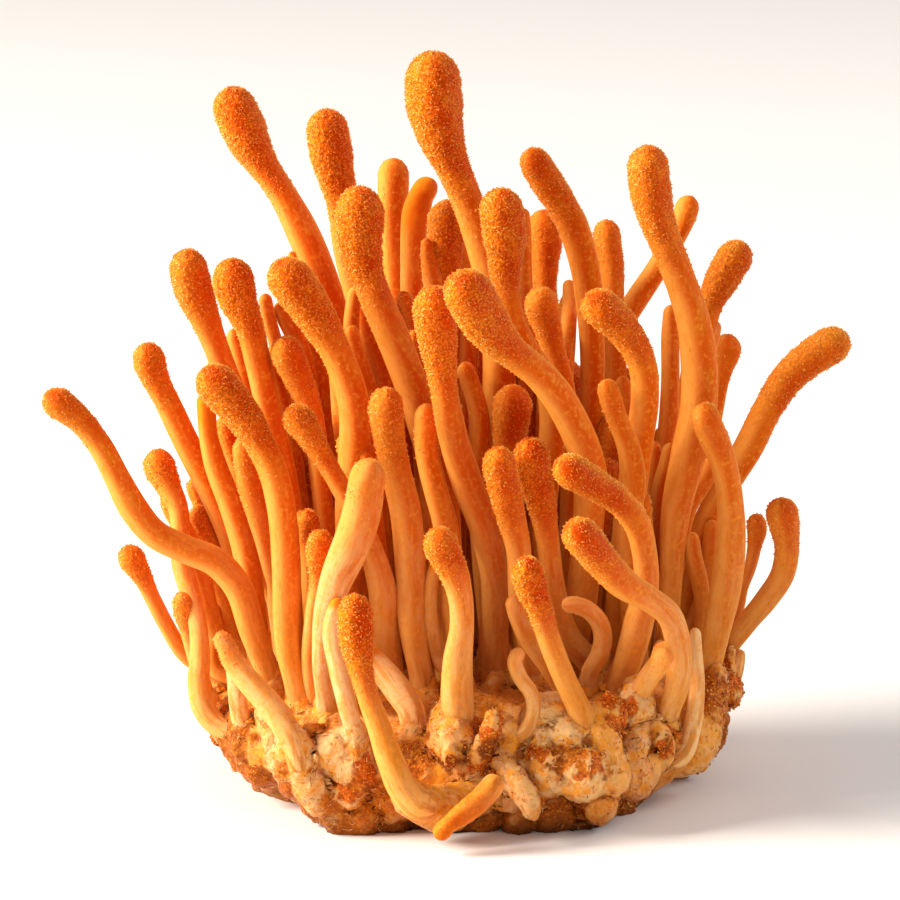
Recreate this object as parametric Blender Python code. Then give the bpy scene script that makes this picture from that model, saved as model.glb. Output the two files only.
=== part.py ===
# A bunch of cordyceps: club-headed orange stalks on a lump of mycelium that is cut off flat.
# Metres, +Z up. The bunch stands on z = 0 and its front faces -Y.
import math

import bpy
import numpy as np

# Lengths below are in millimetres
MM = 0.001
CLEARANCE = 0.35
FOOT_LIFT = 0.6
RING_SPACING = 13.0

# Stalk routes are drawn as seen from the front and a little above, at the middle of the bunch
VIEW_DROP = math.radians(15)
VIEW_DISTANCE = 600.0

# The mycelium mat
MAT_CENTRE_X = 1.0
MAT_HALF_WIDTH = 27.0
MAT_HALF_DEPTH = 22.6
MAT_HEIGHT = 10.2
MAT_RIM_HEIGHT = 6.4
MAT_CUT_SHARE = 0.85
MAT_SEGMENTS = 40
MAT_SIDE_LEVELS = (0.0, 0.3, 0.62, 1.0)
MAT_TOP_SHARES = (0.93, 0.82, 0.62, 0.34)

# Where a stalk's foot stands: None lands it on the mat where its drawn foot is seen,
# (x, y) puts a hidden foot on that spot of the mat, and one number is the foot's own depth
SEEN = None

# Each stalk: depth of its tip, its foot, and its route from the tip down as (across, up, thickness)
LEFT_STALKS = {
    "stalk_left_01": (-12, SEEN, [
        (-40.6, 38.7, 0), (-39.0, 37.5, 3.2), (-37.3, 36.2, 2.7), (-35.2, 33.7, 2.4), (-33.2, 30.0, 2.5),
        (-31.7, 27.2, 2.8), (-29.5, 24.6, 2.7), (-26.5, 23.1, 2.7), (-23.5, 21.8, 2.8), (-21.4, 19.5, 2.8),
        (-20.0, 15.5, 2.7), (-17.8, 7.8, 2.7)]),
    "stalk_left_02": (-2, (-18.8, 3.2), [
        (-30.4, 43.8, 0), (-30.1, 41.8, 3.3), (-29.4, 40.0, 2.8), (-28.4, 38.0, 2.5), (-26.5, 34.0, 2.5),
        (-24.3, 29.8, 2.6), (-21.8, 24.0, 2.6)]),
    "stalk_left_03": (-1, (-15.4, 6.6), [
        (-26.4, 53.2, 0), (-26.2, 51.0, 3.8), (-25.7, 49.0, 3.8), (-24.9, 47.0, 3.2), (-23.7, 44.0, 2.5),
        (-22.2, 40.0, 2.5), (-20.4, 35.5, 2.5)]),
    "stalk_left_04": (-4, (-14.2, 1.4), [
        (-21.9, 52.3, 0), (-21.7, 50.0, 4.1), (-21.2, 48.0, 3.7), (-20.3, 46.0, 3.0), (-19.3, 42.0, 2.6),
        (-18.4, 38.0, 2.6), (-16.5, 30.0, 2.5)]),
    "stalk_left_05": (-16, SEEN, [
        (-24.8, 41.2, 0), (-23.3, 39.5, 4.2), (-21.8, 37.8, 4.0), (-20.4, 36.0, 3.6), (-19.2, 34.0, 3.0),
        (-17.8, 31.0, 2.8), (-17.0, 27.5, 2.7), (-16.4, 21.5, 2.8), (-16.2, 13.6, 2.7), (-15.0, 7.0, 2.8)]),
    "stalk_left_06": (-9, (-9.9, -2.6), [
        (-17.6, 51.9, 0), (-16.0, 50.0, 4.6), (-14.7, 48.3, 4.4), (-13.5, 46.5, 4.0), (-12.3, 44.5, 3.4),
        (-11.3, 42.6, 3.0), (-10.1, 39.5, 3.0)]),
    "stalk_left_07": (17, (-8.0, 12.0), [
        (-22.2, 69.6, 0), (-21.6, 67.4, 4.7), (-20.9, 65.8, 4.8), (-20.1, 63.9, 4.4), (-19.0, 62.0, 3.5),
        (-17.0, 59.0, 2.9), (-14.4, 54.0, 3.3), (-12.2, 48.0, 3.3)]),
    "stalk_left_08": (9, (-6.0, 5.0), [
        (-12.6, 67.4, 0), (-12.3, 65.0, 4.4), (-12.0, 63.0, 4.5), (-11.6, 61.0, 4.0), (-11.0, 58.5, 3.4),
        (-10.2, 53.0, 3.0), (-8.4, 46.0, 2.8), (-6.2, 38.5, 2.6)]),
    "stalk_left_09": (-3, (-18.6, -2.4), [
        (-24.5, 38.8, 0), (-24.4, 37.0, 1.9), (-24.2, 34.5, 1.9), (-23.6, 32.0, 2.2), (-21.9, 27.5, 2.4),
        (-20.5, 23.0, 2.5)]),
    "stalk_left_10": (-7, (-14.0, -4.4), [
        (-20.7, 34.3, 0), (-20.5, 32.0, 2.4), (-20.0, 29.5, 2.6), (-19.2, 26.5, 2.4), (-18.4, 23.0, 1.8)]),
    "stalk_left_11": (-3, (-10.6, 2.6), [
        (-16.8, 44.3, 0), (-16.3, 42.6, 3.2), (-15.2, 40.2, 3.0), (-14.3, 38.0, 2.6), (-13.7, 35.5, 2.4),
        (-12.9, 29.0, 2.0)]),
    "stalk_left_12": (2, (-23.0, 3.4), [
        (-32.3, 23.5, 0), (-31.9, 22.2, 2.8), (-30.8, 20.3, 2.0), (-29.7, 18.0, 1.6), (-28.4, 15.5, 1.6),
        (-26.6, 12.6, 1.6)]),
    "stalk_left_13": (-16, SEEN, [
        (-16.4, 37.1, 0), (-15.0, 35.8, 3.2), (-13.8, 34.0, 2.7), (-12.7, 32.2, 2.2), (-11.4, 30.0, 2.0),
        (-10.0, 27.5, 2.0), (-8.5, 24.5, 2.1), (-7.0, 20.0, 2.6), (-6.4, 14.0, 2.8), (-5.8, 8.0, 2.7)]),
}

MIDDLE_STALKS = {
    "stalk_mid_01": (-3, (0.2, -3.6), [
        (-9.2, 59.6, 0), (-9.1, 56.5, 4.8), (-9.1, 54.2, 4.5), (-8.7, 51.9, 4.0), (-8.0, 49.8, 3.3),
        (-5.6, 44.0, 3.4), (-3.2, 37.5, 3.4), (-1.0, 29.0, 3.2)]),
    "stalk_mid_02": (5, (5.0, 8.6), [
        (-1.6, 73.2, 0), (-1.7, 69.6, 5.8), (-1.6, 67.6, 5.9), (-1.3, 65.8, 5.2), (-0.8, 64.0, 4.6),
        (0.0, 62.0, 3.7), (0.9, 60.0, 3.3), (3.1, 54.0, 3.2), (4.4, 49.0, 3.2)]),
    "stalk_mid_03": (28, (-3.2, 17.4), [
        (-5.7, 62.4, 0), (-5.7, 60.2, 3.2), (-5.8, 56.0, 3.0), (-5.6, 51.0, 3.0)]),
    "stalk_mid_04": (22, (-1.8, 12.4), [
        (-1.6, 60.2, 0), (-2.7, 58.9, 2.5), (-3.4, 56.8, 2.8), (-3.6, 54.5, 2.7), (-3.7, 51.0, 2.5)]),
    "stalk_mid_05": (14, (0.8, 8.2), [
        (-0.2, 58.2, 0), (-0.3, 55.4, 4.1), (-0.4, 53.0, 3.6), (-0.4, 50.5, 3.1)]),
    "stalk_mid_06": (-6, (8.7, 5.2), [
        (5.0, 59.3, 0), (5.2, 56.3, 4.5), (5.4, 54.6, 4.5), (5.5, 52.8, 3.8), (5.5, 50.8, 3.2),
        (5.9, 47.0, 2.8), (7.2, 43.6, 2.7), (9.6, 40.0, 2.6)]),
    "stalk_mid_07": (22, (9.4, 12.2), [
        (9.3, 57.2, 0), (9.5, 54.2, 3.8), (9.5, 52.0, 3.1), (9.5, 50.0, 2.6), (9.8, 46.0, 2.5)]),
    "stalk_mid_08": (11, (13.2, 10.4), [
        (8.0, 63.4, 0), (8.7, 61.6, 3.3), (9.8, 59.8, 3.3), (11.0, 58.0, 3.1), (12.1, 56.0, 3.1),
        (13.4, 52.0, 2.9), (14.0, 48.0, 2.8), (14.3, 43.0, 2.5)]),
    "stalk_mid_09": (-20, (12.2, 1.6), [
        (0.4, 50.5, 0), (2.0, 48.4, 4.7), (3.3, 46.2, 4.6), (4.7, 44.3, 3.9), (6.4, 42.7, 3.1),
        (8.3, 41.2, 3.0), (10.2, 39.2, 3.2), (12.3, 35.8, 3.3), (13.9, 31.4, 3.4), (13.8, 25.0, 3.0)]),
    "stalk_mid_10": (-14, SEEN, [
        (-1.5, 49.4, 0), (-1.5, 46.4, 4.2), (-1.2, 44.0, 3.8), (-0.7, 40.0, 2.8), (0.4, 34.0, 2.8),
        (1.6, 30.0, 3.0), (3.5, 25.0, 3.0), (4.4, 20.5, 2.8), (4.4, 14.0, 3.1), (4.5, 9.5, 3.7)]),
    "stalk_mid_11": (-13, SEEN, [
        (-6.2, 39.3, 0), (-6.4, 37.2, 3.4), (-6.2, 34.8, 3.1), (-5.5, 31.0, 2.9), (-4.5, 27.0, 3.0),
        (-4.0, 22.0, 3.0), (-3.8, 16.0, 2.8), (-2.6, 7.6, 2.8)]),
    "stalk_mid_12": (-7.5, (1.2, -9.6), [
        (-2.3, 37.7, 0), (-2.4, 35.8, 2.3), (-2.3, 33.0, 2.4), (-1.6, 29.5, 2.4), (-0.5, 25.5, 2.5)]),
    "stalk_mid_13": (4, (4.0, 3.6), [
        (1.3, 41.8, 0), (2.0, 39.8, 1.9), (2.8, 37.0, 2.0), (3.0, 34.0, 2.2), (2.8, 31.0, 2.2)]),
    "stalk_mid_14": (2, (7.8, 0.8), [
        (6.3, 39.6, 0), (6.2, 37.0, 3.9), (5.9, 34.0, 3.2), (5.8, 31.0, 2.8)]),
    "stalk_mid_15": (4, (12.0, 6.2), [
        (9.4, 49.4, 0), (9.2, 47.4, 3.4), (9.7, 45.6, 2.9), (10.2, 43.6, 2.4), (11.2, 40.0, 2.2),
        (12.0, 34.0, 2.2)]),
    "stalk_mid_16": (-15, (8.2, -6.2), [
        (4.8, 33.2, 0), (5.0, 31.2, 3.4), (5.4, 29.0, 3.3), (6.0, 26.5, 3.0), (6.8, 23.2, 2.5),
        (7.0, 18.5, 2.3)]),
    "stalk_mid_17": (-12, (14.6, -2.6), [
        (7.9, 34.1, 0), (8.3, 31.4, 3.6), (9.1, 28.0, 3.1), (9.7, 24.6, 2.4), (10.4, 19.3, 2.3),
        (11.8, 14.2, 2.6)]),
}

RIGHT_STALKS = {
    "stalk_right_01": (-3, (21.6, 0.8), [
        (19.8, 63.7, 0), (19.9, 61.2, 4.2), (20.1, 59.2, 4.3), (20.6, 56.6, 3.8), (21.5, 54.0, 3.4),
        (23.1, 50.0, 3.2), (24.4, 46.0, 3.4), (25.0, 41.0, 3.6), (24.9, 37.0, 3.6), (23.9, 32.5, 3.4),
        (22.6, 27.0, 2.9), (22.1, 20.0, 2.3)]),
    "stalk_right_02": (19, (17.4, 10.4), [
        (15.6, 56.2, 0), (15.8, 54.2, 2.9), (16.1, 52.0, 2.8), (16.2, 48.0, 2.6)]),
    "stalk_right_03": (27, (14.2, 14.6), [
        (24.1, 58.6, 0), (23.7, 57.0, 2.5), (22.5, 54.2, 2.2), (20.5, 50.8, 2.2), (19.0, 48.6, 2.3),
        (17.6, 46.4, 2.3), (16.0, 42.4, 2.0)]),
    "stalk_right_04": (18, (21.2, 11.2), [
        (29.6, 53.9, 0), (28.3, 51.9, 3.8), (27.2, 50.0, 3.6), (26.2, 48.0, 2.8), (25.4, 45.5, 2.6)]),
    "stalk_right_05": (25, (17.6, 14.8), [
        (27.8, 44.7, 0), (27.7, 43.0, 3.1), (27.3, 40.6, 1.9), (26.4, 36.0, 1.7)]),
    "stalk_right_06": (5, (22.4, 6.6), [
        (40.1, 44.3, 0), (38.0, 43.4, 3.8), (36.2, 42.3, 3.6), (34.4, 40.8, 3.4), (31.9, 37.2, 3.0),
        (29.9, 33.2, 3.0), (27.6, 29.4, 2.8), (25.3, 25.0, 2.6), (24.0, 20.0, 2.4)]),
    "stalk_right_07": (-9, (16.0, 1.6), [
        (13.6, 48.5, 0), (15.4, 47.0, 4.0), (17.0, 45.5, 3.6), (18.4, 43.6, 3.2), (19.3, 41.4, 2.9),
        (19.5, 38.5, 2.8), (18.8, 33.5, 2.8)]),
    "stalk_right_08": (-8, (18.6, -2.6), [
        (15.6, 40.1, 0), (16.1, 38.0, 2.2), (16.9, 35.8, 2.1), (17.8, 33.6, 2.2), (18.3, 30.5, 2.5),
        (18.0, 27.0, 2.6)]),
    "stalk_right_09": (-8, SEEN, [
        (25.3, 37.7, 0), (25.7, 36.0, 3.0), (26.5, 34.0, 3.0), (27.3, 32.0, 2.7), (28.0, 28.5, 2.6),
        (28.1, 24.5, 2.9), (27.6, 19.5, 3.0), (26.6, 14.5, 2.6), (25.4, 8.0, 2.5)]),
    "stalk_right_10": (0, (26.0, 7.8), [
        (33.0, 28.1, 0), (33.3, 26.2, 3.3), (33.7, 23.6, 2.6), (33.3, 20.6, 2.5), (31.6, 18.0, 2.4),
        (29.8, 15.9, 2.2)]),
    "stalk_right_11": (-22, SEEN, [
        (10.8, 31.8, 0), (12.4, 30.7, 3.4), (14.7, 29.4, 3.1), (16.8, 28.0, 2.8), (18.6, 25.8, 2.7),
        (19.4, 22.8, 2.5), (19.6, 19.5, 2.5), (18.8, 15.5, 2.9), (17.8, 12.0, 2.7), (16.8, 8.0, 2.5)]),
    "stalk_right_12": (-27, SEEN, [
        (12.0, 25.5, 0), (13.5, 24.0, 3.7), (15.2, 21.9, 3.4), (17.5, 19.5, 3.0), (20.0, 18.0, 2.5),
        (21.8, 16.6, 2.4), (22.7, 14.0, 2.4), (22.7, 9.6, 2.4), (21.6, 4.8, 2.6)]),
}

FRONT_STALKS = {
    "stalk_front_01": (-25.5, -25.6, [
        (-9.5, 18.6, 0), (-9.5, 16.4, 3.6), (-9.4, 14.6, 3.6), (-9.1, 12.1, 2.8), (-8.4, 9.0, 2.2),
        (-7.2, 5.6, 2.3), (-5.8, 1.6, 2.7), (-4.6, -1.0, 2.9), (-3.0, -2.5, 3.1), (-1.2, -2.8, 3.1)]),
    "stalk_front_02": (-23, SEEN, [
        (-1.4, 25.2, 0), (-0.8, 23.2, 3.4), (0.3, 21.0, 3.0), (1.0, 18.5, 2.5), (1.2, 15.5, 2.4),
        (0.8, 12.0, 2.9), (0.7, 7.6, 3.2), (0.8, 4.4, 3.0)]),
    "stalk_front_03": (-25, SEEN, [
        (7.6, 22.2, 0), (7.9, 20.0, 3.1), (8.9, 17.3, 2.6), (9.7, 14.7, 2.2), (10.9, 11.5, 2.2),
        (12.3, 8.4, 2.3), (13.8, 5.6, 2.7), (14.8, 3.4, 3.0)]),
    "stalk_front_04": (-20, SEEN, [
        (-7.8, 32.0, 0), (-8.3, 30.0, 3.5), (-8.7, 27.4, 3.6), (-9.6, 24.2, 3.6), (-11.2, 20.4, 3.2),
        (-12.4, 16.6, 2.4), (-12.7, 12.0, 2.2), (-12.3, 6.2, 2.4)]),
    "stalk_front_05": (-15, (11.4, -10.6), [
        (6.3, 18.4, 0), (6.6, 16.9, 1.8), (7.4, 14.8, 1.8), (8.6, 12.9, 1.8), (9.8, 11.3, 1.8)]),
    "stalk_front_06": (-12, (13.8, -6.8), [
        (11.2, 17.4, 0), (12.2, 17.5, 1.7), (13.6, 17.1, 1.8), (14.8, 16.0, 1.8), (15.3, 14.2, 1.8),
        (14.9, 12.4, 1.8), (14.0, 10.8, 1.7)]),
    "stalk_front_07": (-19.5, SEEN, [
        (7.2, 13.1, 0), (6.5, 12.0, 1.5), (7.0, 10.2, 1.5), (8.1, 8.6, 1.5), (8.3, 6.8, 1.5),
        (7.2, 4.6, 1.6), (5.9, 2.9, 1.7)]),
    "stalk_front_08": (-23, SEEN, [
        (21.5, 13.2, 0), (21.0, 11.8, 2.2), (20.0, 10.4, 2.1), (19.0, 8.8, 2.1), (18.4, 6.8, 2.2)]),
    "stalk_front_09": (-17, -21.6, [
        (-23.2, 14.8, 0), (-22.4, 13.4, 1.9), (-21.8, 12.1, 2.1), (-20.4, 10.2, 2.3), (-18.6, 8.2, 2.5),
        (-16.8, 5.8, 2.6), (-15.5, 3.0, 2.6), (-14.8, 0.6, 2.4)]),
    "stub_front": (-28, -25.8, [
        (-1.6, -5.0, 0), (-0.3, -4.6, 1.8), (1.6, -3.2, 2.3), (3.6, -1.4, 2.3), (5.0, 0.4, 2.2)]),
}

# A tuft is one solid that reaches the tips of a few small sprouts standing close together
TUFTS = {
    "tuft_left": (3, (-19.6, 8.6), [
        (-29.4, 33.4, 0), (-28.9, 31.0, 3.6), (-27.3, 28.6, 4.8), (-25.3, 26.0, 5.2), (-23.5, 22.5, 4.0)]),
    "tuft_left_low": (-4, (-22.6, -3.4), [
        (-26.6, 18.9, 0), (-26.4, 17.0, 3.0), (-25.8, 14.5, 3.8), (-25.0, 11.5, 4.0)]),
    "tuft_mid": (-6, (-5.6, -1.8), [
        (-9.7, 39.0, 0), (-9.6, 36.8, 3.2), (-9.4, 34.3, 4.0), (-9.0, 32.0, 4.4), (-8.6, 29.0, 4.0),
        (-7.4, 20.0, 2.6)]),
    "tuft_front_left": (-14, (-12.3, -7.6), [
        (-13.6, 26.9, 0), (-13.3, 25.0, 3.6), (-13.0, 22.6, 4.2), (-13.1, 19.6, 3.2), (-13.3, 14.0, 2.1)]),
    "tuft_right": (8, (17.6, 6.0), [
        (22.2, 47.6, 0), (22.1, 44.0, 2.0), (21.9, 38.0, 2.4), (21.4, 33.0, 4.0), (20.2, 29.0, 4.4),
        (19.4, 25.0, 3.4)]),
    "tuft_back_left": (31, (-11.6, 16.2), [
        (-17.4, 38.0, 0), (-17.0, 34.0, 10.0), (-16.0, 27.0, 11.0), (-13.8, 19.0, 8.4)]),
    "tuft_back_right": (31, (6.4, 18.2), [
        (9.0, 38.0, 0), (8.8, 34.0, 10.0), (8.4, 27.0, 11.0), (7.4, 19.5, 8.4)]),
}

# Easing stalks apart
SAMPLES_A_STRETCH = 8
EASE_STEPS = 400
EASE_SHARE = 0.35

# A tip is a dome: rings at these angles from its pole
DOME_ANGLES = (25, 60)

COLOURS = {
    "mat": ((0.80, 0.55, 0.28), 0.85),
    "stalk": ((0.83, 0.24, 0.02), 0.6),
    "front": ((0.85, 0.38, 0.08), 0.55),
    "tuft": ((0.75, 0.22, 0.03), 0.65),
}


def clear_scene():
    for item in list(bpy.data.objects):
        bpy.data.objects.remove(item)


def make_material(name):
    colour, roughness = COLOURS[name]
    material = bpy.data.materials.new(name)
    material.use_nodes = True
    shader = material.node_tree.nodes["Principled BSDF"]
    shader.inputs["Base Color"].default_value = (*colour, 1)
    shader.inputs["Roughness"].default_value = roughness
    shader.inputs["Metallic"].default_value = 0
    return material


# Where a point drawn in the view stands, once its depth y is known
def to_world(across, up, y):
    rise, run = math.sin(VIEW_DROP), math.cos(VIEW_DROP)
    away = (y - up * rise) / (run + up * rise / VIEW_DISTANCE)
    spread = 1 + away / VIEW_DISTANCE
    height = up * spread
    return np.stack([across * spread, height * rise + away * run, height * run - away * rise], axis=-1)


def to_view(x, y, z):
    rise, run = math.sin(VIEW_DROP), math.cos(VIEW_DROP)
    spread = 1 + (y * run - z * rise) / VIEW_DISTANCE
    return x / spread, (y * rise + z * run) / spread


# The mat is an oval with shallow lobes: its half width in any direction, at the rim
def mat_reach(angle):
    oval = 1 / math.hypot(math.cos(angle) / MAT_HALF_WIDTH, math.sin(angle) / MAT_HALF_DEPTH)
    lobes = 0.022 * math.sin(3 * angle + 0.8) + 0.02 * math.sin(7 * angle + 2.0) + 0.014 * math.sin(11 * angle)
    return oval * (1 + lobes)


def mat_top(x, y):
    angle = math.atan2(y, x - MAT_CENTRE_X)
    share = math.hypot(x - MAT_CENTRE_X, y) / mat_reach(angle)
    swell = 0.25 * math.sin(x / 3.7 + 1) * math.sin(y / 3.1) * (1 - min(share, 1) ** 4)
    return MAT_HEIGHT - (MAT_HEIGHT - MAT_RIM_HEIGHT) * min(share, 1) ** 6 + swell


def on_mat(x, y):
    return math.hypot(x - MAT_CENTRE_X, y) < mat_reach(math.atan2(y, x - MAT_CENTRE_X))


# Depth at which the line of sight through a drawn point first meets the top of the mat
def landing_depth(across, up):
    for y in np.arange(-30.0, 30.0, 0.1):
        point = to_world(across, up, y)
        if on_mat(point[0], point[1]) and point[2] <= mat_top(point[0], point[1]):
            return float(y)
    raise ValueError(f"no landing for a foot at {across}, {up}")


def smooth_between(before, start, end, after, share):
    return 0.5 * (
        2 * start
        + (end - before) * share
        + (2 * before - 5 * start + 4 * end - after) * share**2
        + (3 * start - before - 3 * end + after) * share**3
    )


# A smooth run of (across, up, thickness) through the drawn points, foot first
def smooth_route(points):
    ends = np.vstack([2 * points[0] - points[1], points, 2 * points[-1] - points[-2]])
    shares = np.arange(SAMPLES_A_STRETCH)[:, None] / SAMPLES_A_STRETCH
    runs = [smooth_between(*ends[i : i + 4], shares) for i in range(len(points) - 1)]
    return np.vstack([*runs, points[-1:]])


def foot_place(foot, last):
    if foot is SEEN:
        depth = landing_depth(last[0], last[1])
        return last[0], last[1], depth
    if isinstance(foot, tuple):
        across, up = to_view(foot[0], foot[1], mat_top(*foot))
        return across, up, foot[1]
    return last[0], last[1], foot


# One stalk as samples from foot to tip: where it is drawn, how thick it is and how deep it stands
def lay_stalk(tip_depth, foot, drawn):
    points = np.array(drawn[::-1], float)
    across, up, foot_depth = foot_place(foot, points[0])
    if isinstance(foot, tuple):
        points = np.vstack([[across, up, points[0, 2] * 1.08], points])
    points[-1, 2] = points[-2, 2]
    route = smooth_route(points)
    steps = np.linalg.norm(np.diff(route[:, :2], axis=0), axis=1)
    along = np.concatenate([[0], np.cumsum(steps)])
    along /= along[-1]
    depth = foot_depth + (tip_depth - foot_depth) * along
    standing = foot is SEEN or isinstance(foot, tuple)
    return {"route": route, "depth": depth, "standing": standing}


# Stalks that would touch are eased apart in depth, which leaves them where they are drawn
def ease_apart(stalks):
    route = np.vstack([s["route"] for s in stalks])
    depth = np.concatenate([s["depth"] for s in stalks])
    owner = np.concatenate([[i] * len(s["depth"]) for i, s in enumerate(stalks)])
    starts = np.flatnonzero(np.diff(owner, prepend=-1))
    radius = route[:, 2] / 2
    apart = np.linalg.norm(route[:, None, :2] - route[None, :, :2], axis=2)
    need = radius[:, None] + radius[None, :] + CLEARANCE
    first, second = np.nonzero((apart < need * 1.06) & (owner[:, None] < owner[None, :]))
    need = need[first, second]
    settled = depth.copy()
    ahead = np.where(settled[second] >= settled[first], 1.0, -1.0)
    for _ in range(EASE_STEPS):
        place = to_world(route[:, 0], route[:, 1], depth)
        sideways = np.linalg.norm(route[first, :2] - route[second, :2], axis=1)
        wanted = np.sqrt(np.maximum(need**2 - sideways**2, 0))
        held = ahead * (depth[second] - depth[first]) * math.cos(VIEW_DROP)
        held = np.maximum(held, np.linalg.norm(place[first] - place[second], axis=1) - need + wanted)
        push = np.maximum(wanted - held, 0) * EASE_SHARE
        total = np.zeros(len(depth))
        count = np.zeros(len(depth))
        np.add.at(total, first, -ahead * push)
        np.add.at(total, second, ahead * push)
        np.add.at(count, first, push > 0)
        np.add.at(count, second, push > 0)
        depth += total / np.maximum(count, 1)
        moved = depth - settled
        blurred = 0.5 * moved + 0.25 * (np.roll(moved, 1) + np.roll(moved, -1))
        last = np.append(starts[1:], len(depth)) - 1
        blurred[last] = moved[last - 1]
        blurred[starts] = 0
        depth = settled + blurred
    for stalk, low, high in zip(stalks, starts, np.append(starts[1:], len(depth))):
        stalk["depth"] = depth[low:high]


# Rings stand at the drawn points, with more in long stretches and a dome over the tip
def stalk_rings(stalk):
    route = stalk["route"]
    place = to_world(route[:, 0], route[:, 1], stalk["depth"])
    radius = route[:, 2] / 2
    if stalk["standing"]:
        heading = place[2] - place[0]
        lean = math.hypot(heading[0], heading[1]) / np.linalg.norm(heading)
        place[0, 2] = mat_top(place[0, 0], place[0, 1]) + FOOT_LIFT + radius[0] * lean
    kept = [0]
    for node in range(SAMPLES_A_STRETCH, len(place), SAMPLES_A_STRETCH):
        stretch = np.linalg.norm(place[node] - place[node - SAMPLES_A_STRETCH])
        if stretch > RING_SPACING:
            kept.append(node - SAMPLES_A_STRETCH // 2)
        kept.append(node)
    places = [place[i] for i in kept[:-1]]
    radii = [radius[i] for i in kept[:-1]]
    tip, head = place[kept[-1]], places[-1]
    pole = (head - tip) / np.linalg.norm(head - tip)
    for angle in sorted(DOME_ANGLES, reverse=True):
        turn = math.radians(angle)
        places.append(tip + pole * radii[len(kept) - 2] * (1 - math.cos(turn)))
        radii.append(radii[len(kept) - 2] * math.sin(turn))
    return places, radii


def make_stalk(name, places, radii, material):
    curve = bpy.data.curves.new(name, "CURVE")
    curve.dimensions = "3D"
    curve.bevel_depth = MM
    curve.bevel_resolution = 2
    curve.use_fill_caps = True
    spline = curve.splines.new("POLY")
    spline.points.add(len(places) - 1)
    for point, place, radius in zip(spline.points, places, radii):
        point.co = (*(place * MM), 1)
        point.radius = radius
    stalk = bpy.data.objects.new(name, curve)
    bpy.context.collection.objects.link(stalk)
    curve.materials.append(material)
    return stalk


def make_mat(material):
    rings = []
    for level in MAT_SIDE_LEVELS:
        share = MAT_CUT_SHARE + (1 - MAT_CUT_SHARE) * math.sin(level * math.pi / 2)
        rings.append((share, level * MAT_RIM_HEIGHT))
    rings += [(share, None) for share in MAT_TOP_SHARES]
    points = []
    for share, height in rings:
        for step in range(MAT_SEGMENTS):
            angle = 2 * math.pi * step / MAT_SEGMENTS
            x = MAT_CENTRE_X + share * mat_reach(angle) * math.cos(angle)
            y = share * mat_reach(angle) * math.sin(angle)
            points.append((x * MM, y * MM, (mat_top(x, y) if height is None else height) * MM))
    top = len(points)
    points.append((MAT_CENTRE_X * MM, 0, mat_top(MAT_CENTRE_X, 0) * MM))
    faces = [tuple(reversed(range(MAT_SEGMENTS)))]
    for ring in range(len(rings) - 1):
        for step in range(MAT_SEGMENTS):
            after = (step + 1) % MAT_SEGMENTS
            low, high = ring * MAT_SEGMENTS, (ring + 1) * MAT_SEGMENTS
            faces.append((low + step, low + after, high + after, high + step))
    high = (len(rings) - 1) * MAT_SEGMENTS
    faces += [(high + step, high + (step + 1) % MAT_SEGMENTS, top) for step in range(MAT_SEGMENTS)]
    mesh = bpy.data.meshes.new("base_mat")
    mesh.from_pydata(points, [], faces)
    mesh.shade_smooth()
    mesh.materials.append(material)
    mat = bpy.data.objects.new("base_mat", mesh)
    bpy.context.collection.objects.link(mat)
    return mat


# The origin is under the middle of everything, on the surface that the bunch stands on
def centre_over_origin(pieces):
    graph = bpy.context.evaluated_depsgraph_get()
    corners = []
    for piece in pieces:
        mesh = piece.evaluated_get(graph).to_mesh()
        spots = np.empty(len(mesh.vertices) * 3, np.float32)
        mesh.vertices.foreach_get("co", spots)
        corners.append(spots.reshape(-1, 3))
        piece.evaluated_get(graph).to_mesh_clear()
    every = np.vstack(corners)
    middle = (every.min(axis=0) + every.max(axis=0)) / 2
    for piece in pieces:
        piece.location = (-float(middle[0]), -float(middle[1]), 0)


def build():
    clear_scene()
    materials = {name: make_material(name) for name in COLOURS}
    groups = (("stalk", LEFT_STALKS), ("stalk", MIDDLE_STALKS), ("stalk", RIGHT_STALKS),
              ("front", FRONT_STALKS), ("tuft", TUFTS))
    named = [(name, finish, lay_stalk(*row)) for finish, rows in groups for name, row in rows.items()]
    ease_apart([stalk for _, _, stalk in named])
    pieces = [make_mat(materials["mat"])]
    for name, finish, stalk in named:
        places, radii = stalk_rings(stalk)
        pieces.append(make_stalk(name, places, radii, materials[finish]))
    bpy.context.view_layer.update()
    centre_over_origin(pieces)


build()
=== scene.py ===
# Cordyceps bunch: granular club heads on smooth stems, out of a lump of mycelium
import functools
import math
import random

import bpy
import numpy as np
from mathutils import Euler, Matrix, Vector
from mathutils.bvhtree import BVHTree


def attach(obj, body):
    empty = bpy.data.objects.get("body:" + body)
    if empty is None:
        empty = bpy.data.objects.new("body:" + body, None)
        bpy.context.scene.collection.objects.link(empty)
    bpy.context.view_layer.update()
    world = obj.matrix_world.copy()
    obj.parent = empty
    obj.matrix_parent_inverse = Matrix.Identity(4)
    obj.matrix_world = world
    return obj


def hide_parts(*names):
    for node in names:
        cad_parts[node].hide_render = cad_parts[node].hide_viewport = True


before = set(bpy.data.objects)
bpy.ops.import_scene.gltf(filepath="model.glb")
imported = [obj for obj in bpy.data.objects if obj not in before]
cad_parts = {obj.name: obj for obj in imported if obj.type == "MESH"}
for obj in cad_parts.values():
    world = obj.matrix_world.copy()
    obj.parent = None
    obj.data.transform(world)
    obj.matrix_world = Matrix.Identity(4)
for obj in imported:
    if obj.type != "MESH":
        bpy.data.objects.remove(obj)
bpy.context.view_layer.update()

mm = 0.001


def linear(code):  # an sRGB hex colour as the linear one that shaders take
    parts = [int(code[i : i + 2], 16) / 255 for i in (1, 3, 5)]
    return (*[c / 12.92 if c <= 0.04045 else ((c + 0.055) / 1.055) ** 2.4 for c in parts], 1)


def deselect():
    bpy.ops.object.select_all(action="DESELECT")


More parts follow.
